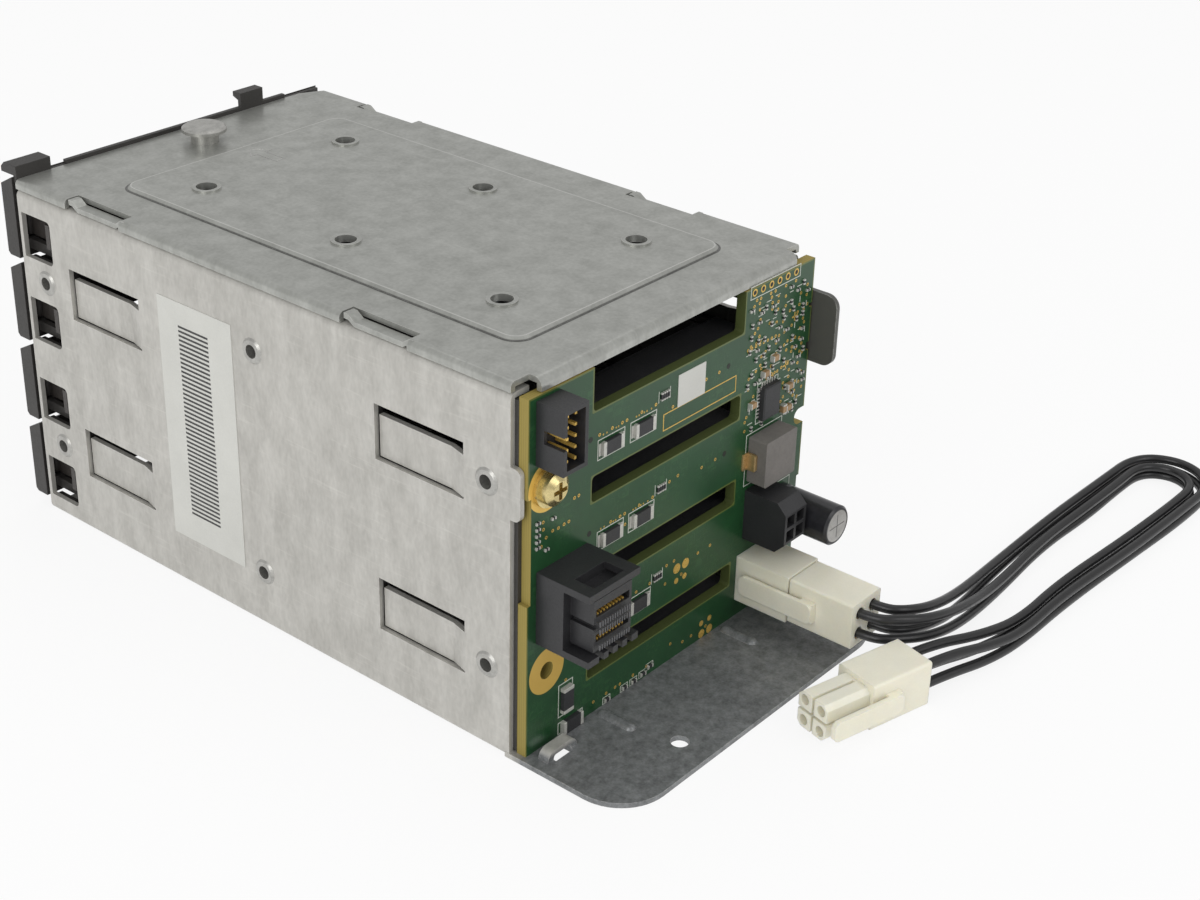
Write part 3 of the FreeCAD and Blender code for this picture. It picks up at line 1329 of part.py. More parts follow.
# Each route lists the points between the mated plug and the free plug. The wires turn sharply behind the
# mated plug, come down to the floor in two pairs, one pair lying on the other, and double back in a hairpin.
ROUTES = {
    "wire_1": ((-0.5, -0.5), (0.5, -0.5), [
        (-28.1, 158.0, 7.4), (-31.0, 160.9, 7.0), (-38.2, 161.8, 5.0), (-50, 160.5, 1.7), (-72, 158.0, 0.96),
        (-94, 157.4, 0.96), (-113, 158.5, 0.96), (-131, 158.3, 0.96), (-136.2, 167.4, 0.96),
                                           (-131, 176.6, 0.96),
        (-113, 177.0, 0.96), (-92, 175.7, 0.96), (-68, 174.4, 0.96), (-50, 174.6, 0.96), (-40, 173.5, 1.4),
        (-29.8, 171.0, 2.5)]),
    "wire_2": ((-0.5, 0.5), (0.5, 0.5), [
        (-28.1, 158.0, 11.6), (-31.0, 160.9, 11.3), (-38.2, 162.0, 9.2), (-50, 160.8, 6.0),
                                         (-70, 158.2, 3.0),
        (-93, 157.7, 3.0), (-114, 158.2, 3.0), (-131.6, 158.5, 3.0), (-136.8, 167.6, 3.0),
                                         (-131.4, 176.9, 3.0),
        (-112, 176.7, 3.0), (-91, 176.0, 3.0), (-67, 174.2, 3.0), (-50, 174.8, 3.0), (-40, 173.5, 4.6),
        (-29.8, 171.0, 6.7)]),
    "wire_3": ((0.5, -0.5), (-0.5, -0.5), [
        (-23.9, 158.2, 7.4), (-26.9, 161.6, 7.3), (-33.1, 164.6, 6.2), (-44, 164.8, 3.6), (-62, 162.6, 0.96),
        (-84, 160.5, 0.96), (-102, 161.4, 0.96), (-115.5, 161.0, 0.96), (-129, 161.2, 0.96),
        (-132.8, 167.7, 0.96), (-129, 174.2, 0.96), (-115.5, 174.5, 0.96), (-96, 173.1, 0.96),
                                           (-72, 171.9, 0.96),
        (-54, 172.2, 0.96), (-42, 170.4, 1.4), (-30.8, 166.9, 2.5)]),
    "wire_4": ((0.5, 0.5), (-0.5, 0.5), [
        (-23.9, 158.2, 11.6), (-26.9, 161.6, 11.5), (-33.1, 164.7, 10.2), (-44, 165.0, 7.2),
                                         (-61, 162.8, 3.0),
        (-83, 160.8, 3.0), (-101, 161.2, 3.0), (-115, 161.3, 3.0), (-128.4, 161.1, 3.0),
                                         (-132.2, 167.6, 3.0),
        (-128.4, 174.1, 3.0), (-115, 174.2, 3.0), (-95, 173.4, 3.0), (-71, 171.6, 3.0), (-54, 172.3, 3.0),
        (-42, 170.4, 4.6), (-30.8, 166.9, 6.7)]),
}


WIRE_SIDES = 8


def rounded_path(points):
    """Straight runs joined by tangent arcs, each as large as its two runs allow."""
    edges, here, tightest = [], points[0], None
    for before, corner, after in zip(points, points[1:], points[2:]):
        into, out = (corner - before), (after - corner)
        reach = 0.45 * min(into.Length, out.Length)
        half_turn = into.getAngle(out) / 2
        radius = reach / math.tan(half_turn)
        tightest = radius if tightest is None else min(tightest, radius)
        into.normalize()
        out.normalize()
        start, end = corner - into * reach, corner + out * reach
        inward = out - into
        inward.normalize()
        middle = corner + inward * (radius / math.cos(half_turn) - radius)
        edges += [Part.LineSegment(here, start).toShape(), Part.Arc(start, middle, end).toShape()]
        here = end
    edges.append(Part.LineSegment(here, points[-1]).toShape())
    return Part.Wire(edges), tightest


def power_wire(name):
    """One insulated wire, a tube along its route."""
    first, last, between = ROUTES[name]
    points = [cell_spot(*first)[0], *[Vector(*point) for point in between], cell_spot(*last)[1]]
    path, tightest = rounded_path(points)
    radius = measure("wire_r")
    turn = Rotation(Vector(0, 0, 1), points[1] - points[0])
    corners = [points[0] + turn.multVec(Vector(radius * math.cos(angle), radius * math.sin(angle), 0))
               for angle in (math.tau * side / WIRE_SIDES for side in range(WIRE_SIDES + 1))]
    tube = path.makePipeShell([Part.makePolygon(corners)], True, False)
    expected = WIRE_SIDES / 2 * radius ** 2 * math.sin(math.tau / WIRE_SIDES) * path.Length
    print(f"{name}: length {path.Length:.1f}, tightest radius {tightest:.1f}, volume ratio {tube.Volume / expected:.4f}")
    wire = doc.addObject("Part::Feature", name)
    wire.Shape = tube
    return wire


# ---------------------------------------------------------------- output

def export():
    """Check every object and sub-part, then write one file for each sub-part."""
    doc.recompute()
    for thing in doc.Objects:
        if "Invalid" in thing.State or "Error" in thing.State:
            raise RuntimeError(f"{thing.Label} did not build: {thing.State}")
    os.makedirs("parts", exist_ok=True)
    for thing in pieces:
        shape = thing.Shape
        if shape.isNull() or not shape.isValid() or shape.Volume <= 0:
            raise RuntimeError(f"{thing.Label} has no valid solid")
        shape.exportStep(f"parts/{thing.Label}.step")


piece(chassis_shell(), "chassis_shell")
piece(top_cover(), "top_cover")
piece(cover_stud(), "cover_stud")
piece(front_trim(), "front_trim")
piece(guide_right(), "guide_right")
piece(guide_left(), "guide_left")
piece(guide_rivets(), "guide_rivets")
piece(backplane_board(), "backplane_board")
piece(board_screw(), "board_screw")
piece(signal_header(), "signal_header")
piece(signal_pins(), "signal_pins")
piece(data_connector(), "data_connector")
piece(data_contacts(), "data_contacts")
piece(aux_power_header(), "aux_power_header")
piece(aux_power_pins(), "aux_power_pins")
piece(main_power_header(), "main_power_header")
piece(main_power_pins(), "main_power_pins")
piece(capacitor(), "capacitor")
piece(inductor(), "inductor")
piece(controller_chip(), "controller_chip")
piece(shunt_resistors(), "shunt_resistors")
piece(board_fuses(), "board_fuses")
piece(side_label(), "side_label")
piece(board_sticker(), "board_sticker")
for bay in BAYS:
    number = bay + 1
    piece(drive_connector(bay), f"drive_connector_{number}")
    piece(carrier_frame(bay), f"carrier_frame_{number}")
    piece(release_lever(bay), f"release_lever_{number}")
    piece(lever_pin(bay), f"lever_pin_{number}")
    piece(lever_spring(bay), f"lever_spring_{number}")
    piece(release_button(bay), f"release_button_{number}")
piece(mated_plug(), "mated_plug")
piece(free_plug(), "free_plug")
piece(plug_terminals(), "plug_terminals")
for name in ROUTES:
    piece(power_wire(name), name)
export()
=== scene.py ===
import json
import math
import random

import bmesh
import bpy
from bpy.props import FloatProperty, FloatVectorProperty, IntProperty, PointerProperty
from mathutils import Matrix, Vector


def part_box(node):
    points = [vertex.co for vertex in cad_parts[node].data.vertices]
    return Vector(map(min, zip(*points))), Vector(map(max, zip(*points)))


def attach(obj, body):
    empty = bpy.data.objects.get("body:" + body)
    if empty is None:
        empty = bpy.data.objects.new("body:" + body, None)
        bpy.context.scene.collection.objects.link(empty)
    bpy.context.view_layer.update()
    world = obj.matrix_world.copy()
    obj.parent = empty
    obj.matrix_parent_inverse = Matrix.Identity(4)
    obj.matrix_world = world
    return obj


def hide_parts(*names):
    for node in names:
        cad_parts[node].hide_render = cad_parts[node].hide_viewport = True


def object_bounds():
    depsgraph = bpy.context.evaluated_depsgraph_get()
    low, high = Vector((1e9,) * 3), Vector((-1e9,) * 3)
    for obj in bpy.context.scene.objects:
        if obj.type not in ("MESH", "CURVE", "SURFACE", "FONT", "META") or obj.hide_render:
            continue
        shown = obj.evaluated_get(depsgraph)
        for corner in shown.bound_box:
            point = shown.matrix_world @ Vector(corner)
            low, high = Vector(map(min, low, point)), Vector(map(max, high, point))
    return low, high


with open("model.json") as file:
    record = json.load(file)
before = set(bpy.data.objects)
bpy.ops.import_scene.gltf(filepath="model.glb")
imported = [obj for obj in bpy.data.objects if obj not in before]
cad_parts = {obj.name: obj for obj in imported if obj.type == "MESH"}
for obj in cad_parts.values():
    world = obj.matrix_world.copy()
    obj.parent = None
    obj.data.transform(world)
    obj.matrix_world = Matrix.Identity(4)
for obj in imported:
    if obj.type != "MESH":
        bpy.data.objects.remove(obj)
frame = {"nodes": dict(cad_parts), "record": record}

# ---------------------------------------------------------------------------
# The looks of a hot swap drive cage: folded zinc-coated sheet, a green rear board with its connectors,
# dark moulded carriers and a short power lead. All lengths are in metres, +Z is up, and the board faces +Y.
# ---------------------------------------------------------------------------

bl_info = {
    "name": "Hot Swap Drive Cage",
    "version": (1, 0, 0),
    "blender": (4, 5, 0),
    "location": "View3D > Sidebar > Drive Cage",
    "description": "Finishes, board details, power lead and stage of a hot swap drive cage",
    "category": "Object",
}

CAD_BOX = [list(corner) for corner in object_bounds()]
MM = 0.001
BOARD_LOW, BOARD_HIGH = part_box("backplane_board")
BOARD_FACE = BOARD_HIGH.y
SIDE_LABEL_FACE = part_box("side_label")[1].x


def screen_colour(red, green, blue):
    """A screen colour, 0 to 255, as the linear red, green, blue and alpha that shaders take."""
    def linear(value):
        value /= 255
        return value / 12.92 if value <= 0.04045 else ((value + 0.055) / 1.055) ** 2.4
    return (linear(red), linear(green), linear(blue), 1.0)


# ---------------------------------------------------------------------------
# Sizes and colours that a user would change
# ---------------------------------------------------------------------------

def colour_prop(name, description, default):
    return FloatVectorProperty(name=name, description=description, default=default[:3], size=3,
                               min=0.0, max=1.0, subtype="COLOR")


class CageColours(bpy.types.PropertyGroup):
    """The colours of the cage's finishes."""
    wall_light: colour_prop("Wall, light", "Lighter tone of the zinc-coated walls", screen_colour(199, 197, 191))
    wall_dark: colour_prop("Wall, dark", "Darker tone of the zinc-coated walls", screen_colour(176, 174, 168))
    tray_tone: colour_prop("Tray", "Tone of the dull tray behind the board", screen_colour(128, 130, 131))
    cover_light: colour_prop("Cover, light", "Lighter tone of the cover sheet", screen_colour(178, 179, 174))
    cover_dark: colour_prop("Cover, dark", "Darker tone of the cover sheet", screen_colour(154, 155, 150))
    resist: colour_prop("Solder resist", "Green solder resist of the board", screen_colour(28, 70, 38))
    resist_light: colour_prop("Tracks", "Resist where it covers copper tracks", screen_colour(46, 90, 49))
    laminate: colour_prop("Laminate", "Bare glass-epoxy at the board's edges", screen_colour(168, 150, 76))
    carrier: colour_prop("Carriers", "Moulded carriers, guides and trim", screen_colour(52, 50, 48))
    lever: colour_prop("Levers", "Moulded release levers", screen_colour(62, 58, 55))
    button: colour_prop("Buttons", "Moulded release buttons", screen_colour(88, 128, 108))
    connector: colour_prop("Black connectors", "Glass-filled nylon housings", screen_colour(40, 40, 42))
    nylon: colour_prop("Power plugs", "Natural nylon housings", screen_colour(240, 236, 218))
    gold: colour_prop("Gold", "Gold-plated pads and contacts", screen_colour(232, 192, 98))
    insulation: colour_prop("Wires", "Insulation of the power lead", screen_colour(30, 30, 31))
    paper: colour_prop("Labels", "Coated label stock", screen_colour(212, 212, 206))


class LeadSizes(bpy.types.PropertyGroup):
    """The power lead."""
    wire_radius: FloatProperty(name="Wire radius", description="Radius over the insulation", default=0.95 * MM,
                               min=0.2 * MM, max=3 * MM, unit="LENGTH")
    smoothness: IntProperty(name="Smoothness", description="Steps between control points", default=10,
                            min=4, max=24)


class BoardSizes(bpy.types.PropertyGroup):
    """Small details of the rear board."""
    via_radius: FloatProperty(name="Via radius", description="Radius of a small plated hole's pad",
                              default=0.32 * MM, min=0.1 * MM, max=1 * MM, unit="LENGTH")
    line_width: FloatProperty(name="Print width", description="Width of the white outlines", default=0.16 * MM,
                              min=0.05 * MM, max=0.5 * MM, unit="LENGTH")
    copper_rise: FloatProperty(name="Pad thickness", description="How far pads and print stand proud",
                               default=0.03 * MM, min=0.01 * MM, max=0.1 * MM, unit="LENGTH")
    bare_margin: FloatProperty(name="Bare margin", description="Width of the resist-free rim",
                               default=0.32 * MM, min=0.0, max=2 * MM, unit="LENGTH")
    scatter_seed: IntProperty(name="Seed", description="Seed of the scattered small parts", default=7, min=0)


class StageSizes(bpy.types.PropertyGroup):
    """Camera, light and floor."""
    lens: FloatProperty(name="Lens", description="Focal length in millimetres", default=60.639, min=20, max=200)
    key_power: FloatProperty(name="Key power", description="Power of the large side light", default=2.3,
                             min=0, unit="POWER")
    world_level: FloatProperty(name="World level", description="Brightness of the surroundings", default=0.62,
                               min=0, max=2)
    floor_size: FloatProperty(name="Floor size", description="Side of the pale floor", default=8.0, min=1,
                              unit="LENGTH")


def settings():
    return bpy.context.scene.cage


class CageSettings(bpy.types.PropertyGroup):
    """Everything that the cage's panel shows."""
    colours: PointerProperty(type=CageColours)
    lead: PointerProperty(type=LeadSizes)
    board: PointerProperty(type=BoardSizes)
    stage: PointerProperty(type=StageSizes)


# ---------------------------------------------------------------------------
# Shader building
# ---------------------------------------------------------------------------

def add(tree, kind, inputs=None, **values):
    """A node with its properties set and its inputs set or linked."""
    made = tree.nodes.new(kind)
    for name, value in values.items():
        setattr(made, name, value)
    for key, value in (inputs or {}).items():
        if isinstance(value, bpy.types.NodeSocket):
            tree.links.new(value, made.inputs[key])
        else:
            made.inputs[key].default_value = value
    return made


def maths(tree, operation, first, second=0.0, clamp=False):
    return add(tree, "ShaderNodeMath", {0: first, 1: second}, operation=operation, use_clamp=clamp).outputs[0]


def vectors(tree, operation, first, second=(0.0, 0.0, 0.0)):
    made = add(tree, "ShaderNodeVectorMath", {0: first, 1: second}, operation=operation)
    return made.outputs["Value"] if operation in ("LENGTH", "DOT_PRODUCT") else made.outputs["Vector"]


def spread(tree, value, low, high, to_low=0.0, to_high=1.0):
    """Stretch a value's range, clamped."""
    return add(tree, "ShaderNodeMapRange", {"Value": value, "From Min": low, "From Max": high,
                                            "To Min": to_low, "To Max": to_high}).outputs["Result"]


def band(tree, value, middle, half):
    """1 where a value lies within half of its middle."""
    return spread(tree, maths(tree, "ABSOLUTE", maths(tree, "SUBTRACT", value, middle)), half * 1.3, half * 0.7)


def blended(tree, factor, first, second):
    """Mix two colours."""
    made = add(tree, "ShaderNodeMix", data_type="RGBA")
    for socket, value in ((made.inputs[0], factor), (made.inputs[6], first), (made.inputs[7], second)):
        if isinstance(value, bpy.types.NodeSocket):
            tree.links.new(value, socket)
        else:
            socket.default_value = value
    return made.outputs[2]


def object_place(tree):
    return add(tree, "ShaderNodeTexCoord").outputs["Object"]


def effect(name, inputs, outputs):
    """A new shader node group with its named sockets: returns the tree, its inputs and its output node."""
    tree = bpy.data.node_groups.new(name, "ShaderNodeTree")
    for label, kind, default in inputs:
        socket = tree.interface.new_socket(name=label, in_out="INPUT", socket_type="NodeSocket" + kind)
        if default is not None:
            socket.default_value = default
    for label, kind in outputs:
        tree.interface.new_socket(name=label, in_out="OUTPUT", socket_type="NodeSocket" + kind)
    return tree, tree.nodes.new("NodeGroupInput").outputs, tree.nodes.new("NodeGroupOutput")


def cloudy_tone():
    """Soft patches of two tones with a finer speckle, as on rolled and coated sheet."""
    tree, given, out = effect("Cloudy tone", [("Light", "Color", None), ("Dark", "Color", None),
                                              ("Patch scale", "Float", 120.0), ("Speckle scale", "Float", 1400.0),
                                              ("Stretch", "Vector", (1.0, 1.0, 1.0))],
                              [("Colour", "Color"), ("Mask", "Float")])
    place = vectors(tree, "MULTIPLY", object_place(tree), given["Stretch"])
    patch = add(tree, "ShaderNodeTexNoise", {"Vector": place, "Scale": given["Patch scale"], "Detail": 4.0,
                                             "Roughness": 0.6}).outputs["Fac"]
    speckle = add(tree, "ShaderNodeTexNoise", {"Vector": place, "Scale": given["Speckle scale"],
                                               "Detail": 2.0}).outputs["Fac"]
    mixed = maths(tree, "ADD", maths(tree, "MULTIPLY", patch, 0.68), maths(tree, "MULTIPLY", speckle, 0.32))
    mask = spread(tree, mixed, 0.34, 0.66)
    tree.links.new(blended(tree, mask, given["Dark"], given["Light"]), out.inputs["Colour"])
    tree.links.new(mask, out.inputs["Mask"])
    return tree


def rolled_grain():
    """Long fine scratches along one direction, with shallow dents: a mask and a bump."""
    tree, given, out = effect("Rolled grain", [("Stretch", "Vector", (1.0, 0.06, 1.0)),
                                               ("Scale", "Float", 1500.0), ("Depth", "Float", 0.00001),
                                               ("Strength", "Float", 0.25)],
                              [("Scratches", "Float"), ("Normal", "Vector")])
    place = object_place(tree)
    drawn = vectors(tree, "MULTIPLY", place, given["Stretch"])
    lines = add(tree, "ShaderNodeTexNoise", {"Vector": drawn, "Scale": given["Scale"], "Detail": 3.0,
                                             "Roughness": 0.7}).outputs["Fac"]
    dents = add(tree, "ShaderNodeTexNoise", {"Vector": place, "Scale": 55.0, "Detail": 2.0}).outputs["Fac"]
    height = maths(tree, "ADD", lines, maths(tree, "MULTIPLY", dents, 2.5))
    bump = add(tree, "ShaderNodeBump", {"Strength": given["Strength"], "Distance": given["Depth"],
                                        "Height": height})
    tree.links.new(spread(tree, lines, 0.58, 0.74), out.inputs["Scratches"])
    tree.links.new(bump.outputs["Normal"], out.inputs["Normal"])
    return tree


def moulded_grain():
    """The fine spark-eroded grain of moulded plastic, with rounded edges in the shading."""
    tree, given, out = effect("Moulded grain", [("Scale", "Float", 2600.0), ("Depth", "Float", 0.00003),
                                                ("Strength", "Float", 0.35), ("Edge radius", "Float", 0.00018)],
                              [("Pits", "Float"), ("Normal", "Vector")])
    place = object_place(tree)
    pits = add(tree, "ShaderNodeTexVoronoi", {"Vector": place, "Scale": given["Scale"]}).outputs["Distance"]
    soft = add(tree, "ShaderNodeBevel", {"Radius": given["Edge radius"]}, samples=4).outputs["Normal"]
    bump = add(tree, "ShaderNodeBump", {"Strength": given["Strength"], "Distance": given["Depth"],
                                        "Height": pits, "Normal": soft})
    tree.links.new(pits, out.inputs["Pits"])
    tree.links.new(bump.outputs["Normal"], out.inputs["Normal"])
    return tree


def edge_wear():
    """A mask that is 1 along sharp edges, broken up by noise."""
    tree, given, out = effect("Edge wear", [("Radius", "Float", 0.0003), ("Amount", "Float", 0.6)],
                              [("Mask", "Float")])
    soft = add(tree, "ShaderNodeBevel", {"Radius": given["Radius"]}, samples=4).outputs["Normal"]
    true_normal = add(tree, "ShaderNodeNewGeometry").outputs["True Normal"]
    turned = maths(tree, "SUBTRACT", 1.0, vectors(tree, "DOT_PRODUCT", soft, true_normal))
    edge = spread(tree, turned, 0.02, 0.2)
    broken = add(tree, "ShaderNodeTexNoise", {"Vector": object_place(tree), "Scale": 900.0,
                                              "Detail": 3.0}).outputs["Fac"]
    ragged = maths(tree, "MULTIPLY", edge, spread(tree, broken, 0.35, 0.6))
    tree.links.new(maths(tree, "MULTIPLY", ragged, given["Amount"]), out.inputs["Mask"])
    return tree


def frame_distance():
    """How far a point of the board lies from a rectangle in X and Z."""
    tree, given, out = effect("Distance to a slot", [("Centre", "Vector", (0.0, 0.0, 0.0)),
                                                     ("Half size", "Vector", (0.01, 1.0, 0.01))],
                              [("Distance", "Float")])
    away = vectors(tree, "ABSOLUTE", vectors(tree, "SUBTRACT", object_place(tree), given["Centre"]))
    outside = vectors(tree, "MAXIMUM", vectors(tree, "SUBTRACT", away, given["Half size"]))
    tree.links.new(vectors(tree, "LENGTH", outside), out.inputs["Distance"])
    return tree


EFFECTS = {}


def use(tree, name, inputs=None):
    """Place a shared effect in a material, built the first time that it is asked for."""
    makers = {"cloudy": cloudy_tone, "rolled": rolled_grain, "moulded": moulded_grain, "wear": edge_wear,
              "distance": frame_distance}
    if name not in EFFECTS:
        EFFECTS[name] = makers[name]()
    placed = tree.nodes.new("ShaderNodeGroup")
    placed.node_tree = EFFECTS[name]
    for key, value in (inputs or {}).items():
        if isinstance(value, bpy.types.NodeSocket):
            tree.links.new(value, placed.inputs[key])
        else:
            placed.inputs[key].default_value = value
    return placed.outputs


def blank(name):
    """A new material with only its surface shader: returns the material, its tree and the shader."""
    material = bpy.data.materials.new(name)
    material.use_nodes = True
    tree = material.node_tree
    tree.nodes.clear()
    shader = tree.nodes.new("ShaderNodeBsdfPrincipled")
    output = tree.nodes.new("ShaderNodeOutputMaterial")
    tree.links.new(shader.outputs["BSDF"], output.inputs["Surface"])
    return material, tree, shader


def opaque(colour):
    return (colour[0], colour[1], colour[2], 1.0)


# ---------------------------------------------------------------------------
# Finishes
# ---------------------------------------------------------------------------

def case_tones(tree, colour, dull):
    """The folded case: a dull mottled tray, painted shade on the inner faces, and a rear tab on the left painted dark
    as shade.
    """
    place = add(tree, "ShaderNodeSeparateXYZ", {"Vector": object_place(tree)}).outputs
    normal = add(tree, "ShaderNodeSeparateXYZ", {
        "Vector": add(tree, "ShaderNodeNewGeometry").outputs["True Normal"]}).outputs
    behind = spread(tree, place["Y"], 0.1268, 0.1292)
    low = spread(tree, place["Z"], 0.0026, 0.0018)
    blotch = use(tree, "cloudy", {"Light": opaque([min(1.0, c * 1.3) for c in dull]),
                                  "Dark": opaque([c * 0.62 for c in dull]),
                                  "Patch scale": 620.0, "Speckle scale": 2600.0})["Colour"]
    colour = blended(tree, maths(tree, "MULTIPLY", behind, low), colour, blotch)
    # Painted shade: the inner faces of the side walls are darkened towards a near black.
    inner_face_shade = spread(tree, maths(tree, "MULTIPLY", place["X"], normal["X"]), -0.026, -0.032)
    colour = blended(tree, maths(tree, "MULTIPLY", inner_face_shade, 0.86), colour, screen_colour(40, 40, 38))
    # Painted shade: the left wall's rear tab beyond the board is coloured a flat dark grey.
    high = spread(tree, place["Z"], 0.0400, 0.0410)
    beyond = maths(tree, "MULTIPLY", spread(tree, place["Y"], 0.1262, 0.1268), high)
    tab = maths(tree, "MULTIPLY", beyond, spread(tree, place["X"], -0.0378, -0.0382))
    return blended(tree, tab, colour, screen_colour(92, 92, 88))


def panel_highlight_and_shadow(tree, colour):
    """A painted highlight along the shoulder and a painted shadow along the foot of the cover's raised panel."""
    away = use(tree, "distance", {"Centre": (0.0, 67.65 * MM, 0.0),
                                  "Half size": (24.5 * MM, 46.85 * MM, 1.0)})["Distance"]
    # Painted highlight: a pale line on the panel's shoulder.
    colour = blended(tree, maths(tree, "MULTIPLY", band(tree, away, 2.75 * MM, 0.12 * MM), 0.5), colour,
                     screen_colour(222, 222, 218))
    # Painted shadow: a dark line at the panel's foot.
    return blended(tree, maths(tree, "MULTIPLY", band(tree, away, 3.6 * MM, 0.24 * MM), 0.85), colour,
                   screen_colour(70, 70, 68))


def sheet_finish(name, light, dark, roughness, metallic, dull=None, panel=False):
    """Zinc-coated sheet: soft patches, rolled scratches, brighter worn edges."""
    material, tree, shader = blank(name)
    tone = use(tree, "cloudy", {"Light": opaque(light), "Dark": opaque(dark), "Patch scale": 240.0,
                                "Speckle scale": 1500.0, "Stretch": (1.0, 1.0, 0.45)})
    grain = use(tree, "rolled", {"Stretch": (1.0, 0.07, 1.0), "Scale": 1300.0, "Depth": 0.000012,
                                 "Strength": 0.22})
    worn = use(tree, "wear", {"Radius": 0.00025, "Amount": 0.55})["Mask"]
    colour = blended(tree, maths(tree, "MULTIPLY", grain["Scratches"], 0.22), tone["Colour"],
                     opaque([min(1.0, c * 1.35) for c in light]))
    if dull is not None:
        colour = case_tones(tree, colour, dull)
    if panel:
        colour = panel_highlight_and_shadow(tree, colour)
    colour = blended(tree, worn, colour, screen_colour(226, 225, 220))
    rough = maths(tree, "ADD", maths(tree, "MULTIPLY", tone["Mask"], -0.10), roughness)
    tree.links.new(colour, shader.inputs["Base Color"])
    tree.links.new(maths(tree, "SUBTRACT", rough, maths(tree, "MULTIPLY", worn, 0.12)),
                   shader.inputs["Roughness"])
    tree.links.new(grain["Normal"], shader.inputs["Normal"])
    shader.inputs["Metallic"].default_value = metallic
    return material


def metal_finish(name, colour, roughness, scale=1800.0, metallic=0.9):
    """Plated or rolled metal of small parts, with a fine uneven sheen."""
    material, tree, shader = blank(name)
    tone = use(tree, "cloudy", {"Light": opaque(colour), "Dark": opaque([c * 0.7 for c in colour]),
                                "Patch scale": scale / 3, "Speckle scale": scale * 2})
    grain = use(tree, "rolled", {"Stretch": (1.0, 1.0, 0.3), "Scale": scale, "Depth": 0.000008,
                                 "Strength": 0.2})
    tree.links.new(tone["Colour"], shader.inputs["Base Color"])
    tree.links.new(spread(tree, tone["Mask"], 0.0, 1.0, roughness + 0.1, roughness - 0.06),
                   shader.inputs["Roughness"])
    tree.links.new(grain["Normal"], shader.inputs["Normal"])
    shader.inputs["Metallic"].default_value = metallic
    return material


def moulded_finish(name, colour, roughness, grain=2600.0, edge=0.00018, rub=0.16, depth=0.00003, mottle=0.13):
    """Moulded plastic: spark grain, softened edges, paler rubbed corners and a little dust."""
    material, tree, shader = blank(name)
    surface = use(tree, "moulded", {"Scale": grain, "Edge radius": edge, "Depth": depth})
    worn = use(tree, "wear", {"Radius": edge * 2, "Amount": 1.0})["Mask"]
    tone = use(tree, "cloudy", {"Light": opaque([min(1.0, c * (1.0 + mottle) + 0.002) for c in colour]),
                                "Dark": opaque([c * (1.0 - mottle) for c in colour]), "Patch scale": 160.0,
                                "Speckle scale": 2400.0})
    paler = opaque([min(1.0, c * 1.5 + 0.03) for c in colour])
    tree.links.new(blended(tree, maths(tree, "MULTIPLY", worn, rub * 3), tone["Colour"], paler),
                   shader.inputs["Base Color"])
    tree.links.new(spread(tree, surface["Pits"], 0.0, 0.6, roughness + 0.08, roughness - 0.05),
                   shader.inputs["Roughness"])
    tree.links.new(surface["Normal"], shader.inputs["Normal"])
    return material


def nylon_finish(name, colour):
    """Natural nylon: waxy, slightly see-through, smooth with soft flow marks."""
    material = moulded_finish(name, colour, 0.34, 1500.0, 0.00025, 0.01, 0.000008, 0.035)
    shader = next(item for item in material.node_tree.nodes if item.type == "BSDF_PRINCIPLED")
    shader.inputs["Subsurface Weight"].default_value = 0.4
    shader.inputs["Subsurface Radius"].default_value = (1.0, 0.85, 0.6)
    shader.inputs["Subsurface Scale"].default_value = 0.0012
    return material


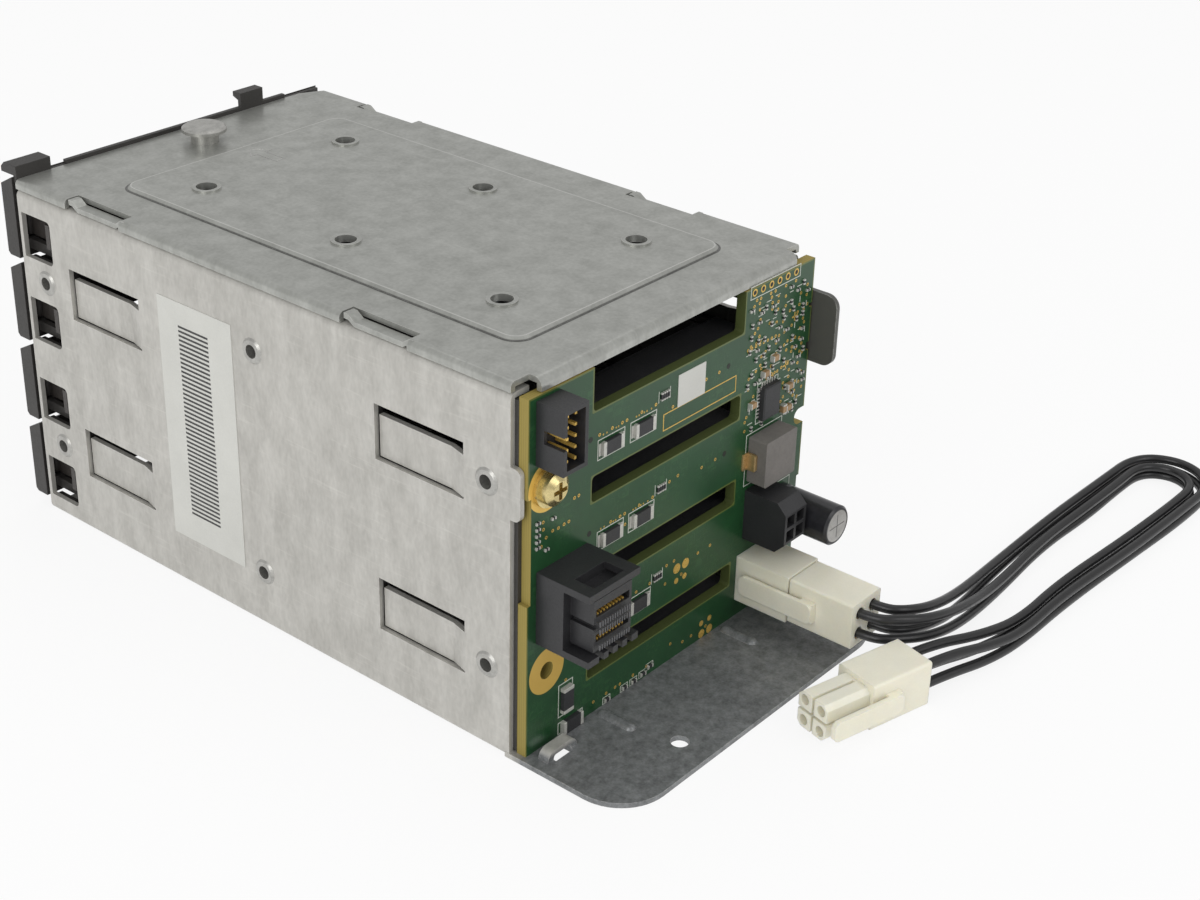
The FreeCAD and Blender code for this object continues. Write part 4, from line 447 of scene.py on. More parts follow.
def board_finish(colours, margin):
    """Green resist over faint tracks, a bare rim round slots and outline, gold rings at the screw holes."""
    material, tree, shader = blank("Board resist")
    place = object_place(tree)
    parts = add(tree, "ShaderNodeSeparateXYZ", {"Vector": place}).outputs
    flat = vectors(tree, "MULTIPLY", place, (1.0, 0.0, 1.0))
    cells = add(tree, "ShaderNodeTexVoronoi", {"Vector": vectors(tree, "MULTIPLY", flat, (520.0, 1.0, 1150.0)),
                                               "Scale": 1.0}, distance="CHEBYCHEV").outputs["Distance"]
    runs = spread(tree, maths(tree, "PINGPONG", maths(tree, "MULTIPLY", cells, 3.1), 0.5), 0.36, 0.44)
    regions = add(tree, "ShaderNodeTexNoise", {"Vector": flat, "Scale": 85.0, "Detail": 1.0}).outputs["Fac"]
    tracks = maths(tree, "MULTIPLY", runs, spread(tree, regions, 0.47, 0.53))
    tone = use(tree, "cloudy", {"Light": opaque([c * 1.14 for c in colours.resist]),
                                "Dark": opaque([c * 0.86 for c in colours.resist]),
                                "Patch scale": 60.0, "Speckle scale": 700.0})["Colour"]
    colour = blended(tree, maths(tree, "MULTIPLY", tracks, 0.55), tone, opaque(colours.resist_light))
    rims = []
    for middle_z in (11.25, 28.85, 46.45, 64.9):
        half_z = 3.9 if middle_z > 60 else 2.45
        rims.append(use(tree, "distance", {"Centre": (1.4 * MM, 0.0, middle_z * MM),
                                           "Half size": (20.5 * MM, 1.0, half_z * MM)})["Distance"])
    nearest = rims[0]
    for other in rims[1:]:
        nearest = maths(tree, "MINIMUM", nearest, other)
    slot_wall_shade = spread(tree, nearest, 0.12 * MM, 0.06 * MM)
    left = maths(tree, "SUBTRACT", parts["X"], BOARD_LOW.x)
    right = maths(tree, "SUBTRACT", BOARD_HIGH.x, parts["X"])
    over = maths(tree, "SUBTRACT", BOARD_HIGH.z, parts["Z"])
    for edge in (left, right, over):
        nearest = maths(tree, "MINIMUM", nearest, edge)
    rim = spread(tree, nearest, margin * 1.05, margin * 0.85)
    colour = blended(tree, rim, colour, screen_colour(92, 104, 50))
    gold_ring = None
    for x, z, outer in ((33.0, 52.0, 4.65), (32.6, 16.2, 4.4)):
        away = vectors(tree, "LENGTH", vectors(tree, "SUBTRACT", flat, (x * MM, 0.0, z * MM)))
        ring = spread(tree, away, (outer + 0.04) * MM, (outer - 0.04) * MM)
        gold_ring = ring if gold_ring is None else maths(tree, "MAXIMUM", gold_ring, ring)
    facing = maths(tree, "ABSOLUTE", add(tree, "ShaderNodeSeparateXYZ", {
        "Vector": add(tree, "ShaderNodeNewGeometry").outputs["True Normal"]}).outputs["Y"])
    edge_face = spread(tree, facing, 0.6, 0.4)
    colour = blended(tree, gold_ring, colour, opaque(colours.gold))
    layers = maths(tree, "PINGPONG", maths(tree, "MULTIPLY", parts["Y"], 2200.0), 0.5)
    side = blended(tree, layers, opaque([c * 0.7 for c in colours.laminate]), opaque(colours.laminate))
    # Painted shade: the laminate on the walls inside the slots is coloured dark olive.
    side = blended(tree, slot_wall_shade, side, screen_colour(74, 84, 38))
    colour = blended(tree, edge_face, colour, side)
    bare = maths(tree, "MULTIPLY", maths(tree, "MULTIPLY", gold_ring, 0.45),
                 maths(tree, "SUBTRACT", 1.0, edge_face))
    bump = add(tree, "ShaderNodeBump", {"Strength": 0.3, "Distance": 0.00002,
                                        "Height": maths(tree, "SUBTRACT", tracks, rim)})
    tree.links.new(colour, shader.inputs["Base Color"])
    tree.links.new(bare, shader.inputs["Metallic"])
    tree.links.new(spread(tree, edge_face, 0.0, 1.0, 0.30, 0.7), shader.inputs["Roughness"])
    tree.links.new(bump.outputs["Normal"], shader.inputs["Normal"])
    return material


def capacitor_finish(colours):
    """A shrunk black sleeve over an aluminium can, whose end is bare and scored crosswise."""
    material, tree, shader = blank("Capacitor sleeve and can")
    low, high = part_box("capacitor")
    centre = ((low.x + high.x) / 2, 0.0, (low.z + high.z) / 2)
    place = object_place(tree)
    parts = add(tree, "ShaderNodeSeparateXYZ", {"Vector": place}).outputs
    radial = vectors(tree, "SUBTRACT", vectors(tree, "MULTIPLY", place, (1.0, 0.0, 1.0)), centre)
    away = vectors(tree, "LENGTH", radial)
    end = maths(tree, "MULTIPLY", spread(tree, parts["Y"], high.y - 0.7 * MM, high.y - 0.5 * MM),
                spread(tree, away, 3.25 * MM, 3.1 * MM))
    legs = add(tree, "ShaderNodeSeparateXYZ", {"Vector": radial}).outputs
    score = maths(tree, "MINIMUM", maths(tree, "ABSOLUTE", legs["X"]), maths(tree, "ABSOLUTE", legs["Z"]))
    line = spread(tree, score, 0.16 * MM, 0.08 * MM)
    line = maths(tree, "MULTIPLY", line, spread(tree, away, 2.5 * MM, 2.3 * MM))
    tone = use(tree, "cloudy", {"Light": screen_colour(222, 220, 216), "Dark": screen_colour(190, 188, 184),
                                "Patch scale": 400.0, "Speckle scale": 3000.0})["Colour"]
    can = blended(tree, line, tone, screen_colour(110, 108, 106))
    sleeve = use(tree, "cloudy", {"Light": screen_colour(40, 40, 44), "Dark": screen_colour(26, 26, 29),
                                  "Patch scale": 300.0, "Speckle scale": 1500.0})["Colour"]
    tree.links.new(blended(tree, end, sleeve, can), shader.inputs["Base Color"])
    tree.links.new(maths(tree, "MULTIPLY", end, 0.8), shader.inputs["Metallic"])
    bump = add(tree, "ShaderNodeBump", {"Strength": 0.5, "Distance": 0.00005,
                                        "Height": maths(tree, "SUBTRACT", 1.0, maths(tree, "MULTIPLY", line, end))})
    tree.links.new(bump.outputs["Normal"], shader.inputs["Normal"])
    shader.inputs["Roughness"].default_value = 0.3
    return material


def paper_finish(colours):
    """Coated label stock with faint fibre and a handled, cloudy gloss."""
    material, tree, shader = blank("Label stock")
    tone = use(tree, "cloudy", {"Light": opaque(colours.paper), "Dark": opaque([c * 0.9 for c in colours.paper]),
                                "Patch scale": 90.0, "Speckle scale": 3000.0})
    grain = use(tree, "rolled", {"Stretch": (1.0, 1.0, 0.4), "Scale": 2500.0, "Depth": 0.000006,
                                 "Strength": 0.2})
    tree.links.new(tone["Colour"], shader.inputs["Base Color"])
    tree.links.new(spread(tree, tone["Mask"], 0.0, 1.0, 0.55, 0.42), shader.inputs["Roughness"])
    tree.links.new(grain["Normal"], shader.inputs["Normal"])
    return material


def print_finish(name, colour):
    """Printed ink, slightly worn through; the same flat finish also serves as painted shade in the board's holes."""
    material, tree, shader = blank(name)
    tone = use(tree, "cloudy", {"Light": opaque(colour), "Dark": opaque([c * 0.8 for c in colour]),
                                "Patch scale": 700.0, "Speckle scale": 5000.0})
    tree.links.new(tone["Colour"], shader.inputs["Base Color"])
    tree.links.new(spread(tree, tone["Mask"], 0.0, 1.0, 0.6, 0.48), shader.inputs["Roughness"])
    return material


MADE = {}


def finish_named(name):
    """The finish of that name, built the first time that it is asked for."""
    if name in MADE:
        return MADE[name]
    c = settings().colours
    makers = {
        "zinc_sheet": lambda: sheet_finish("Zinc-coated wall", c.wall_light, c.wall_dark, 0.46, 0.35,
                                           c.tray_tone),
        "cover_sheet": lambda: sheet_finish("Galvanised cover", c.cover_light, c.cover_dark, 0.38, 0.6,
                                            panel=True),
        "rivet_steel": lambda: metal_finish("Rolled rivet", screen_colour(188, 187, 182), 0.34, metallic=0.7),
        "plated_screw": lambda: metal_finish("Yellow-plated screw", screen_colour(226, 208, 150), 0.22),
        "spring_steel": lambda: metal_finish("Spring steel", screen_colour(196, 196, 192), 0.28),
        "contact_gold": lambda: metal_finish("Gold contact", c.gold, 0.28, 3000.0, 0.45),
        "contact_tin": lambda: metal_finish("Tinned contact", screen_colour(206, 203, 194), 0.3, 2600.0),
        "dark_plastic": lambda: moulded_finish("Carrier plastic", c.carrier, 0.52),
        "lever_plastic": lambda: moulded_finish("Lever plastic", c.lever, 0.48),
        "button_plastic": lambda: moulded_finish("Button plastic", c.button, 0.42),
        "connector_black": lambda: moulded_finish("Connector nylon", c.connector, 0.46, edge=0.0001),
        "rib_nylon": lambda: moulded_finish("Rib nylon", screen_colour(84, 84, 86), 0.44, edge=0.00005),
        "nylon_ivory": lambda: nylon_finish("Natural nylon", c.nylon),
        "capacitor_sleeve": lambda: capacitor_finish(c),
        "inductor_ferrite": lambda: moulded_finish("Iron powder", screen_colour(112, 108, 104), 0.6, 900.0,
                                                   rub=0.1),
        "chip_resin": lambda: moulded_finish("Chip resin", screen_colour(44, 44, 46), 0.55, 4000.0,
                                             edge=0.00008),
        "label_paper": lambda: paper_finish(c),
        "board_green": lambda: board_finish(c, settings().board.bare_margin),
        "wire_black": lambda: moulded_finish("Wire insulation", c.insulation, 0.34, 1800.0, edge=0.00005,
                                             rub=0.02, depth=0.00001),
        "white_print": lambda: print_finish("White print", screen_colour(214, 218, 208)),
        "dark_print": lambda: print_finish("Dark print", screen_colour(58, 58, 58)),
        # Painted shade: flat dark discs that stand for the dark insides of the holes and pits on the board.
        "dark_hole": lambda: print_finish("Hole shade", screen_colour(30, 34, 26)),
        "capacitor_tan": lambda: moulded_finish("Ceramic", screen_colour(158, 128, 92), 0.5, 4000.0,
                                                edge=0.00005),
        "copper": lambda: metal_finish("Copper strip", screen_colour(198, 168, 118), 0.3, 2400.0, 0.6),
        "bright_solder": lambda: metal_finish("Solder", screen_colour(214, 213, 206), 0.3, 3600.0, 0.35),
    }
    MADE[name] = makers[name]()
    return MADE[name]


def coat_nodes(slots):
    """Give every CAD node of these slots its finish."""
    slot_of = {part["node"]: part["material_slot"] for part in frame["record"]["subparts"]}
    coated = 0
    for node, slot in slot_of.items():
        if slot in slots and node in frame["nodes"]:
            mesh = frame["nodes"][node].data
            mesh.materials.clear()
            mesh.materials.append(finish_named(slot))
            coated += 1
    if not coated:
        raise RuntimeError(f"no node has a slot among {slots}")


# ---------------------------------------------------------------------------
# Repeated pieces
# ---------------------------------------------------------------------------

def repeat_tree(name):
    """A Geometry Nodes tree that puts one part on every point, turned and sized by the point."""
    tree = bpy.data.node_groups.new(name, "GeometryNodeTree")
    for label, kind in (("Points", "NodeSocketGeometry"), ("Part", "NodeSocketObject"),
                        ("Overall size", "NodeSocketFloat"), ("Finish", "NodeSocketMaterial")):
        tree.interface.new_socket(name=label, in_out="INPUT", socket_type=kind)
    tree.interface.new_socket(name="Geometry", in_out="OUTPUT", socket_type="NodeSocketGeometry")
    given = tree.nodes.new("NodeGroupInput").outputs
    out = tree.nodes.new("NodeGroupOutput")
    part = add(tree, "GeometryNodeObjectInfo", {"Object": given["Part"]})
    size = add(tree, "GeometryNodeInputNamedAttribute", {"Name": "size"}, data_type="FLOAT_VECTOR")
    turn = add(tree, "GeometryNodeInputNamedAttribute", {"Name": "turn"}, data_type="FLOAT_VECTOR")
    whole = add(tree, "ShaderNodeVectorMath", {0: size.outputs["Attribute"]}, operation="SCALE")
    tree.links.new(given["Overall size"], whole.inputs["Scale"])
    placed = add(tree, "GeometryNodeInstanceOnPoints",
                 {"Points": given["Points"], "Instance": part.outputs["Geometry"],
                  "Rotation": turn.outputs["Attribute"], "Scale": whole.outputs["Vector"]})
    real = add(tree, "GeometryNodeRealizeInstances", {"Geometry": placed.outputs["Instances"]})
    coated = add(tree, "GeometryNodeSetMaterial", {"Geometry": real.outputs["Geometry"],
                                                   "Material": given["Finish"]})
    tree.links.new(coated.outputs["Geometry"], out.inputs["Geometry"])
    return tree


def put(name, mesh, body="root", finish=None):
    """Show a mesh as a piece that rides on a body."""
    made = bpy.data.objects.new(name, mesh)
    bpy.context.scene.collection.objects.link(made)
    if finish is not None:
        mesh.materials.clear()
        mesh.materials.append(finish_named(finish))
    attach(made, body)
    return made


def repeat(name, part_mesh, places, finish, overall=1.0):
    """Repeat a small part at (point, turn, size) places through the tree, as one plain mesh."""
    if not places:
        raise RuntimeError(f"{name} has no places")
    points = bpy.data.meshes.new(name + "_points")
    points.from_pydata([place[0] for place in places], [], [])
    for label, column in (("turn", 1), ("size", 2)):
        layer = points.attributes.new(label, "FLOAT_VECTOR", "POINT")
        layer.data.foreach_set("vector", [value for place in places for value in place[column]])
    holder = bpy.data.objects.new(name + "_holder", points)
    part = bpy.data.objects.new(name + "_part", part_mesh)
    for item in (holder, part):
        bpy.context.scene.collection.objects.link(item)
    tree = bpy.data.node_groups.get("Repeat a part") or repeat_tree("Repeat a part")
    modifier = holder.modifiers.new("Repeat", "NODES")
    modifier.node_group = tree
    sockets = {item.name: item.identifier for item in tree.interface.items_tree
               if item.item_type == "SOCKET" and item.in_out == "INPUT"}
    modifier[sockets["Part"]] = part
    modifier[sockets["Overall size"]] = overall
    modifier[sockets["Finish"]] = finish_named(finish)
    graph = bpy.context.evaluated_depsgraph_get()
    mesh = bpy.data.meshes.new_from_object(holder.evaluated_get(graph))
    holder.modifiers.remove(modifier)
    bpy.data.objects.remove(holder)
    bpy.data.objects.remove(part)
    for layer in [item.name for item in mesh.attributes if item.name in ("turn", "size")]:
        mesh.attributes.remove(mesh.attributes[layer])
    if len(mesh.polygons) == 0:
        raise RuntimeError(f"{name} came out empty")
    return put(name, mesh, "root", finish)


def mesh_of(name, shape):
    """Close a bmesh into a mesh with outward faces."""
    bmesh.ops.recalc_face_normals(shape, faces=shape.faces)
    mesh = bpy.data.meshes.new(name)
    shape.to_mesh(mesh)
    shape.free()
    return mesh


def block_mesh(name, bevel=0.0):
    """A unit block standing on the board: 1 wide in X and Z, rising 1 along +Y from its base."""
    shape = bmesh.new()
    bmesh.ops.create_cube(shape, size=1.0, matrix=Matrix.Translation((0.0, 0.5, 0.0)))
    if bevel:
        top = [edge for edge in shape.edges if max(v.co.y for v in edge.verts) > 0.9]
        bmesh.ops.bevel(shape, geom=top, offset=bevel, segments=1, affect="EDGES")
    return mesh_of(name, shape)


def ring_mesh(name, hole, sides=14):
    """A flat ring of outer radius 1 that rises 1 along +Y."""
    shape = bmesh.new()
    rows = []
    for radius, height in ((1.0, 0.0), (1.0, 1.0), (hole, 1.0), (hole, 0.0)):
        rows.append([shape.verts.new((radius * math.cos(math.tau * step / sides), height,
                                      radius * math.sin(math.tau * step / sides))) for step in range(sides)])
    for row in range(4):
        here, after = rows[row], rows[(row + 1) % 4]
        for step in range(sides):
            shape.faces.new((here[step], here[(step + 1) % sides], after[(step + 1) % sides], after[step]))
    return mesh_of(name, shape)


def disc_mesh(name, sides=14):
    """A flat disc of radius 1 that rises 1 along +Y."""
    shape = bmesh.new()
    turned = Matrix.Translation((0.0, 0.5, 0.0)) @ Matrix.Rotation(math.radians(90), 4, "X")
    bmesh.ops.create_cone(shape, cap_ends=True, segments=sides, radius1=1.0, radius2=1.0, depth=1.0,
                          matrix=turned)
    return mesh_of(name, shape)


def on_board(x, z, width, height, depth, angle=0.0, lift=0.0):
    """A place on the board's rear face, sizes in millimetres."""
    return ((x * MM, BOARD_FACE + lift, z * MM), (0.0, angle, 0.0), (width * MM, depth * MM, height * MM))


def frame_lines(x, z, width, height, line):
    """The four sides of a printed outline."""
    rise = settings().board.copper_rise / MM
    return [on_board(x, z + height / 2, width + line, line, rise),
            on_board(x, z - height / 2, width + line, line, rise),
            on_board(x - width / 2, z, line, height - line, rise),
            on_board(x + width / 2, z, line, height - line, rise)]


# ---------------------------------------------------------------------------
# Power lead
# ---------------------------------------------------------------------------

WIRE_ROUTES = {
    "wire_1": [
        (-0.0281, 0.1540, 0.0074), (-0.0281, 0.1580, 0.0074), (-0.0310, 0.1609, 0.0070),
        (-0.0382, 0.1618, 0.0050), (-0.0500, 0.1605, 0.0017), (-0.0720, 0.1580, 0.00096),
        (-0.0940, 0.1574, 0.00096), (-0.1130, 0.1585, 0.00096), (-0.1284, 0.1583, 0.00096),
        (-0.1336, 0.1674, 0.00096), (-0.1284, 0.1766, 0.00096), (-0.1130, 0.1770, 0.00096),
        (-0.0920, 0.1757, 0.00096), (-0.0680, 0.1744, 0.00096), (-0.0500, 0.1746, 0.00096),
        (-0.0400, 0.1735, 0.0014), (-0.0298, 0.1710, 0.0025), (-0.02201, 0.16901, 0.0025)],
    "wire_2": [
        (-0.0281, 0.1540, 0.0116), (-0.0281, 0.1580, 0.0116), (-0.0310, 0.1609, 0.0113),
        (-0.0382, 0.1620, 0.0092), (-0.0500, 0.1608, 0.0060), (-0.0700, 0.1582, 0.0030),
        (-0.0930, 0.1577, 0.0030), (-0.1140, 0.1582, 0.0030), (-0.1290, 0.1585, 0.0030),
        (-0.1342, 0.1676, 0.0030), (-0.1288, 0.1769, 0.0030), (-0.1120, 0.1767, 0.0030),
        (-0.0910, 0.1760, 0.0030), (-0.0670, 0.1742, 0.0030), (-0.0500, 0.1748, 0.0030),
        (-0.0400, 0.1735, 0.0046), (-0.0298, 0.1710, 0.0067), (-0.02201, 0.16901, 0.0067)],
    "wire_3": [
        (-0.0239, 0.1540, 0.0074), (-0.0239, 0.1582, 0.0074), (-0.0269, 0.1616, 0.0073),
        (-0.0331, 0.1646, 0.0062), (-0.0440, 0.1648, 0.0036), (-0.0620, 0.1626, 0.00096),
        (-0.0840, 0.1605, 0.00096), (-0.1020, 0.1614, 0.00096), (-0.1155, 0.1610, 0.00096),
        (-0.1264, 0.1612, 0.00096), (-0.1302, 0.1677, 0.00096), (-0.1264, 0.1742, 0.00096),
        (-0.1155, 0.1745, 0.00096), (-0.0960, 0.1731, 0.00096), (-0.0720, 0.1719, 0.00096),
        (-0.0540, 0.1722, 0.00096), (-0.0420, 0.1704, 0.0014), (-0.0308, 0.1669, 0.0025),
        (-0.02303, 0.16493, 0.0025)],
    "wire_4": [
        (-0.0239, 0.1540, 0.0116), (-0.0239, 0.1582, 0.0116), (-0.0269, 0.1616, 0.0115),
        (-0.0331, 0.1647, 0.0102), (-0.0440, 0.1650, 0.0072), (-0.0610, 0.1628, 0.0030),
        (-0.0830, 0.1608, 0.0030), (-0.1010, 0.1612, 0.0030), (-0.1150, 0.1613, 0.0030),
        (-0.1258, 0.1611, 0.0030), (-0.1296, 0.1676, 0.0030), (-0.1258, 0.1741, 0.0030),
        (-0.1150, 0.1742, 0.0030), (-0.0950, 0.1734, 0.0030), (-0.0710, 0.1716, 0.0030),
        (-0.0540, 0.1723, 0.0030), (-0.0420, 0.1704, 0.0046), (-0.0308, 0.1669, 0.0067),
        (-0.02303, 0.16493, 0.0067)],
}


class CAGE_OT_lay_wires(bpy.types.Operator):
    """Lay the four wires of the power lead from the mated plug to the free plug"""
    bl_idname = "cage.lay_wires"
    bl_label = "Lay the Wires"

    def execute(self, context):
        sizes = settings().lead
        for name, points in WIRE_ROUTES.items():
            curve = bpy.data.curves.new(name + "_run", "CURVE")
            curve.dimensions = "3D"
            line = curve.splines.new("NURBS")
            line.points.add(len(points) - 1)
            for point, place in zip(line.points, points):
                point.co = (*place, 1.0)
            line.order_u = 3
            line.use_endpoint_u = True
            line.resolution_u = sizes.smoothness
            curve.bevel_depth = sizes.wire_radius
            curve.bevel_resolution = 3
            curve.use_fill_caps = True
            curve.materials.append(finish_named("wire_black"))
            wire = bpy.data.objects.new("power_" + name, curve)
            context.scene.collection.objects.link(wire)
            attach(wire, "power_lead")
            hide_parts(name)
        return {"FINISHED"}


# ---------------------------------------------------------------------------
# Finishing the CAD nodes
# ---------------------------------------------------------------------------

class CAGE_OT_finish_sheet(bpy.types.Operator):
    """Coat the folded case, the cover, its stud, the rivets and the screw"""
    bl_idname = "cage.finish_sheet"
    bl_label = "Finish the Sheet Metal"

    def execute(self, context):
        coat_nodes({"zinc_sheet", "cover_sheet", "rivet_steel", "plated_screw", "spring_steel"})
        return {"FINISHED"}


class CAGE_OT_finish_mouldings(bpy.types.Operator):
    """Coat the guides, the trim, the carriers with their levers and buttons"""
    bl_idname = "cage.finish_mouldings"
    bl_label = "Finish the Mouldings"

    def execute(self, context):
        coat_nodes({"dark_plastic", "lever_plastic", "button_plastic"})
        return {"FINISHED"}


class CAGE_OT_finish_connectors(bpy.types.Operator):
    """Coat the connectors, their contacts, the plugs and the board's larger parts"""
    bl_idname = "cage.finish_connectors"
    bl_label = "Finish the Connectors"

    def execute(self, context):
        coat_nodes({"connector_black", "nylon_ivory", "contact_gold", "contact_tin", "capacitor_sleeve",
                    "inductor_ferrite", "chip_resin"})
        return {"FINISHED"}


# ---------------------------------------------------------------------------
# Board details
# ---------------------------------------------------------------------------

SHUNT_SPOTS = [(17.15, 53.35), (8.7, 53.35), (16.75, 35.75), (8.4, 35.75), (8.4, 18.0)]
FUSE_SPOTS = [(27.6, 8.0, True), (26.2, 2.3, False)]
ROW_VIAS = [(x, 56.2) for x in (20.25, 17.0, 14.4, 13.2, 9.3, 5.5)]
ROW_VIAS += [(x, 38.2) for x in (16.7, 14.2, 13.0, 9.1, 5.4)] + [(9.0, 20.6), (5.2, 20.6)]
ROW_VIAS += [(x, 3.05) for x in (20.0, 16.5, 14.0, 12.7, 9.0, 5.2, -5.4, -8.0, -12.4)]
SINGLE_VIAS = [(0.75, 54.0), (-8.5, 55.85), (-12.25, 55.85), (0.75, 39.35), (-1.6, 39.6), (-8.5, 38.4),
               (-12.5, 38.4), (0.5, 22.15), (-1.65, 22.15), (-8.75, 20.6), (-12.4, 20.6), (12.8, 36.0),
               (0.7, 18.4), (-4.0, 18.3), (-1.7, 4.4), (27.6, 11.7)]
LEFT_VIAS = [(34.0, 45.6), (33.9, 44.2), (33.2, 42.4), (31.6, 43.0), (30.2, 42.9), (34.4, 41.2),
             (26.3, 46.9), (25.2, 46.9), (28.8, 43.0), (27.6, 43.0)]
CROWDED_VIAS = [(-20.6 - 1.2 * step, 57.1) for step in range(8)]
CROWDED_VIAS += [(x, 66.3) for x in (-22.4, -23.6, -26.6, -28.0, -31.2, -34.3)]
CROWDED_VIAS += [(-26.9 - 0.85 * step, 49.6) for step in range(5)]
TINY_VIAS = [(x, z) for z in (55.9, 38.0) for x in (19.3, 18.4, 16.0, 15.4, 10.7, 10.0, 8.6, 7.9, 6.7)]
TEST_PADS = [(-2.6, 20.1, 1.0), (-5.15, 20.1, 1.0), (-11.2, 1.95, 0.9), (-13.6, 1.95, 0.9),
             (-2.6, 17.5, 0.6), (-5.0, 17.5, 0.6), (-11.0, 4.3, 0.6), (-13.5, 4.35, 0.6)]
HEADER_HOLES = (-21.65, -24.15, -26.65, -29.15, -31.65, -34.25)
BLACK_DOTS = [(22.5, 56.1), (22.3, 38.3), (-14.95, 56.1), (-15.2, 38.5)]
SMALL_ARRAYS = [(3.2, 57.2), (3.2, 39.2), (3.2, 21.2)]
FOOT_CHIPS = [(16.4, 1.75), (11.5, 1.75), (8.9, 1.75), (6.3, 2.0), (4.3, 2.7)]
LEFT_CHIPS = [(35.4, 46.0 - 1.15 * step) for step in range(5)] + [(33.2, 40.2), (31.6, 45.4)]
TAN_PARTS = [(-28.7, 53.0), (-26.0, 50.8), (-34.0, 45.4), (-32.6, 41.2), (-34.0, 41.0), (-22.6, 45.6)]


def dense_spots(seed, count, gap):
    """Seeded places in the crowded strip beside the slots, kept clear of the larger parts and each other."""
    source = random.Random(seed)
    taken = [(-27.5, 44.9, 4.2), (-27.4, 34.2, 6.2), (-25.8, 22.7, 7.0), (-26.0, 9.5, 7.5),
             (-33.9, 20.6, 5.2), (-28.0, 68.0, 1.6)]
    spots = []
    for _ in range(count * 60):
        x, z = source.uniform(-38.6, -20.6), source.uniform(39.5, 65.6)
        clear = all(math.hypot(x - a, z - b) > r for a, b, r in taken)
        if clear and all(math.hypot(x - a, z - b) > gap for a, b in spots):
            spots.append((x, z))
        if len(spots) == count:
            break
    return spots


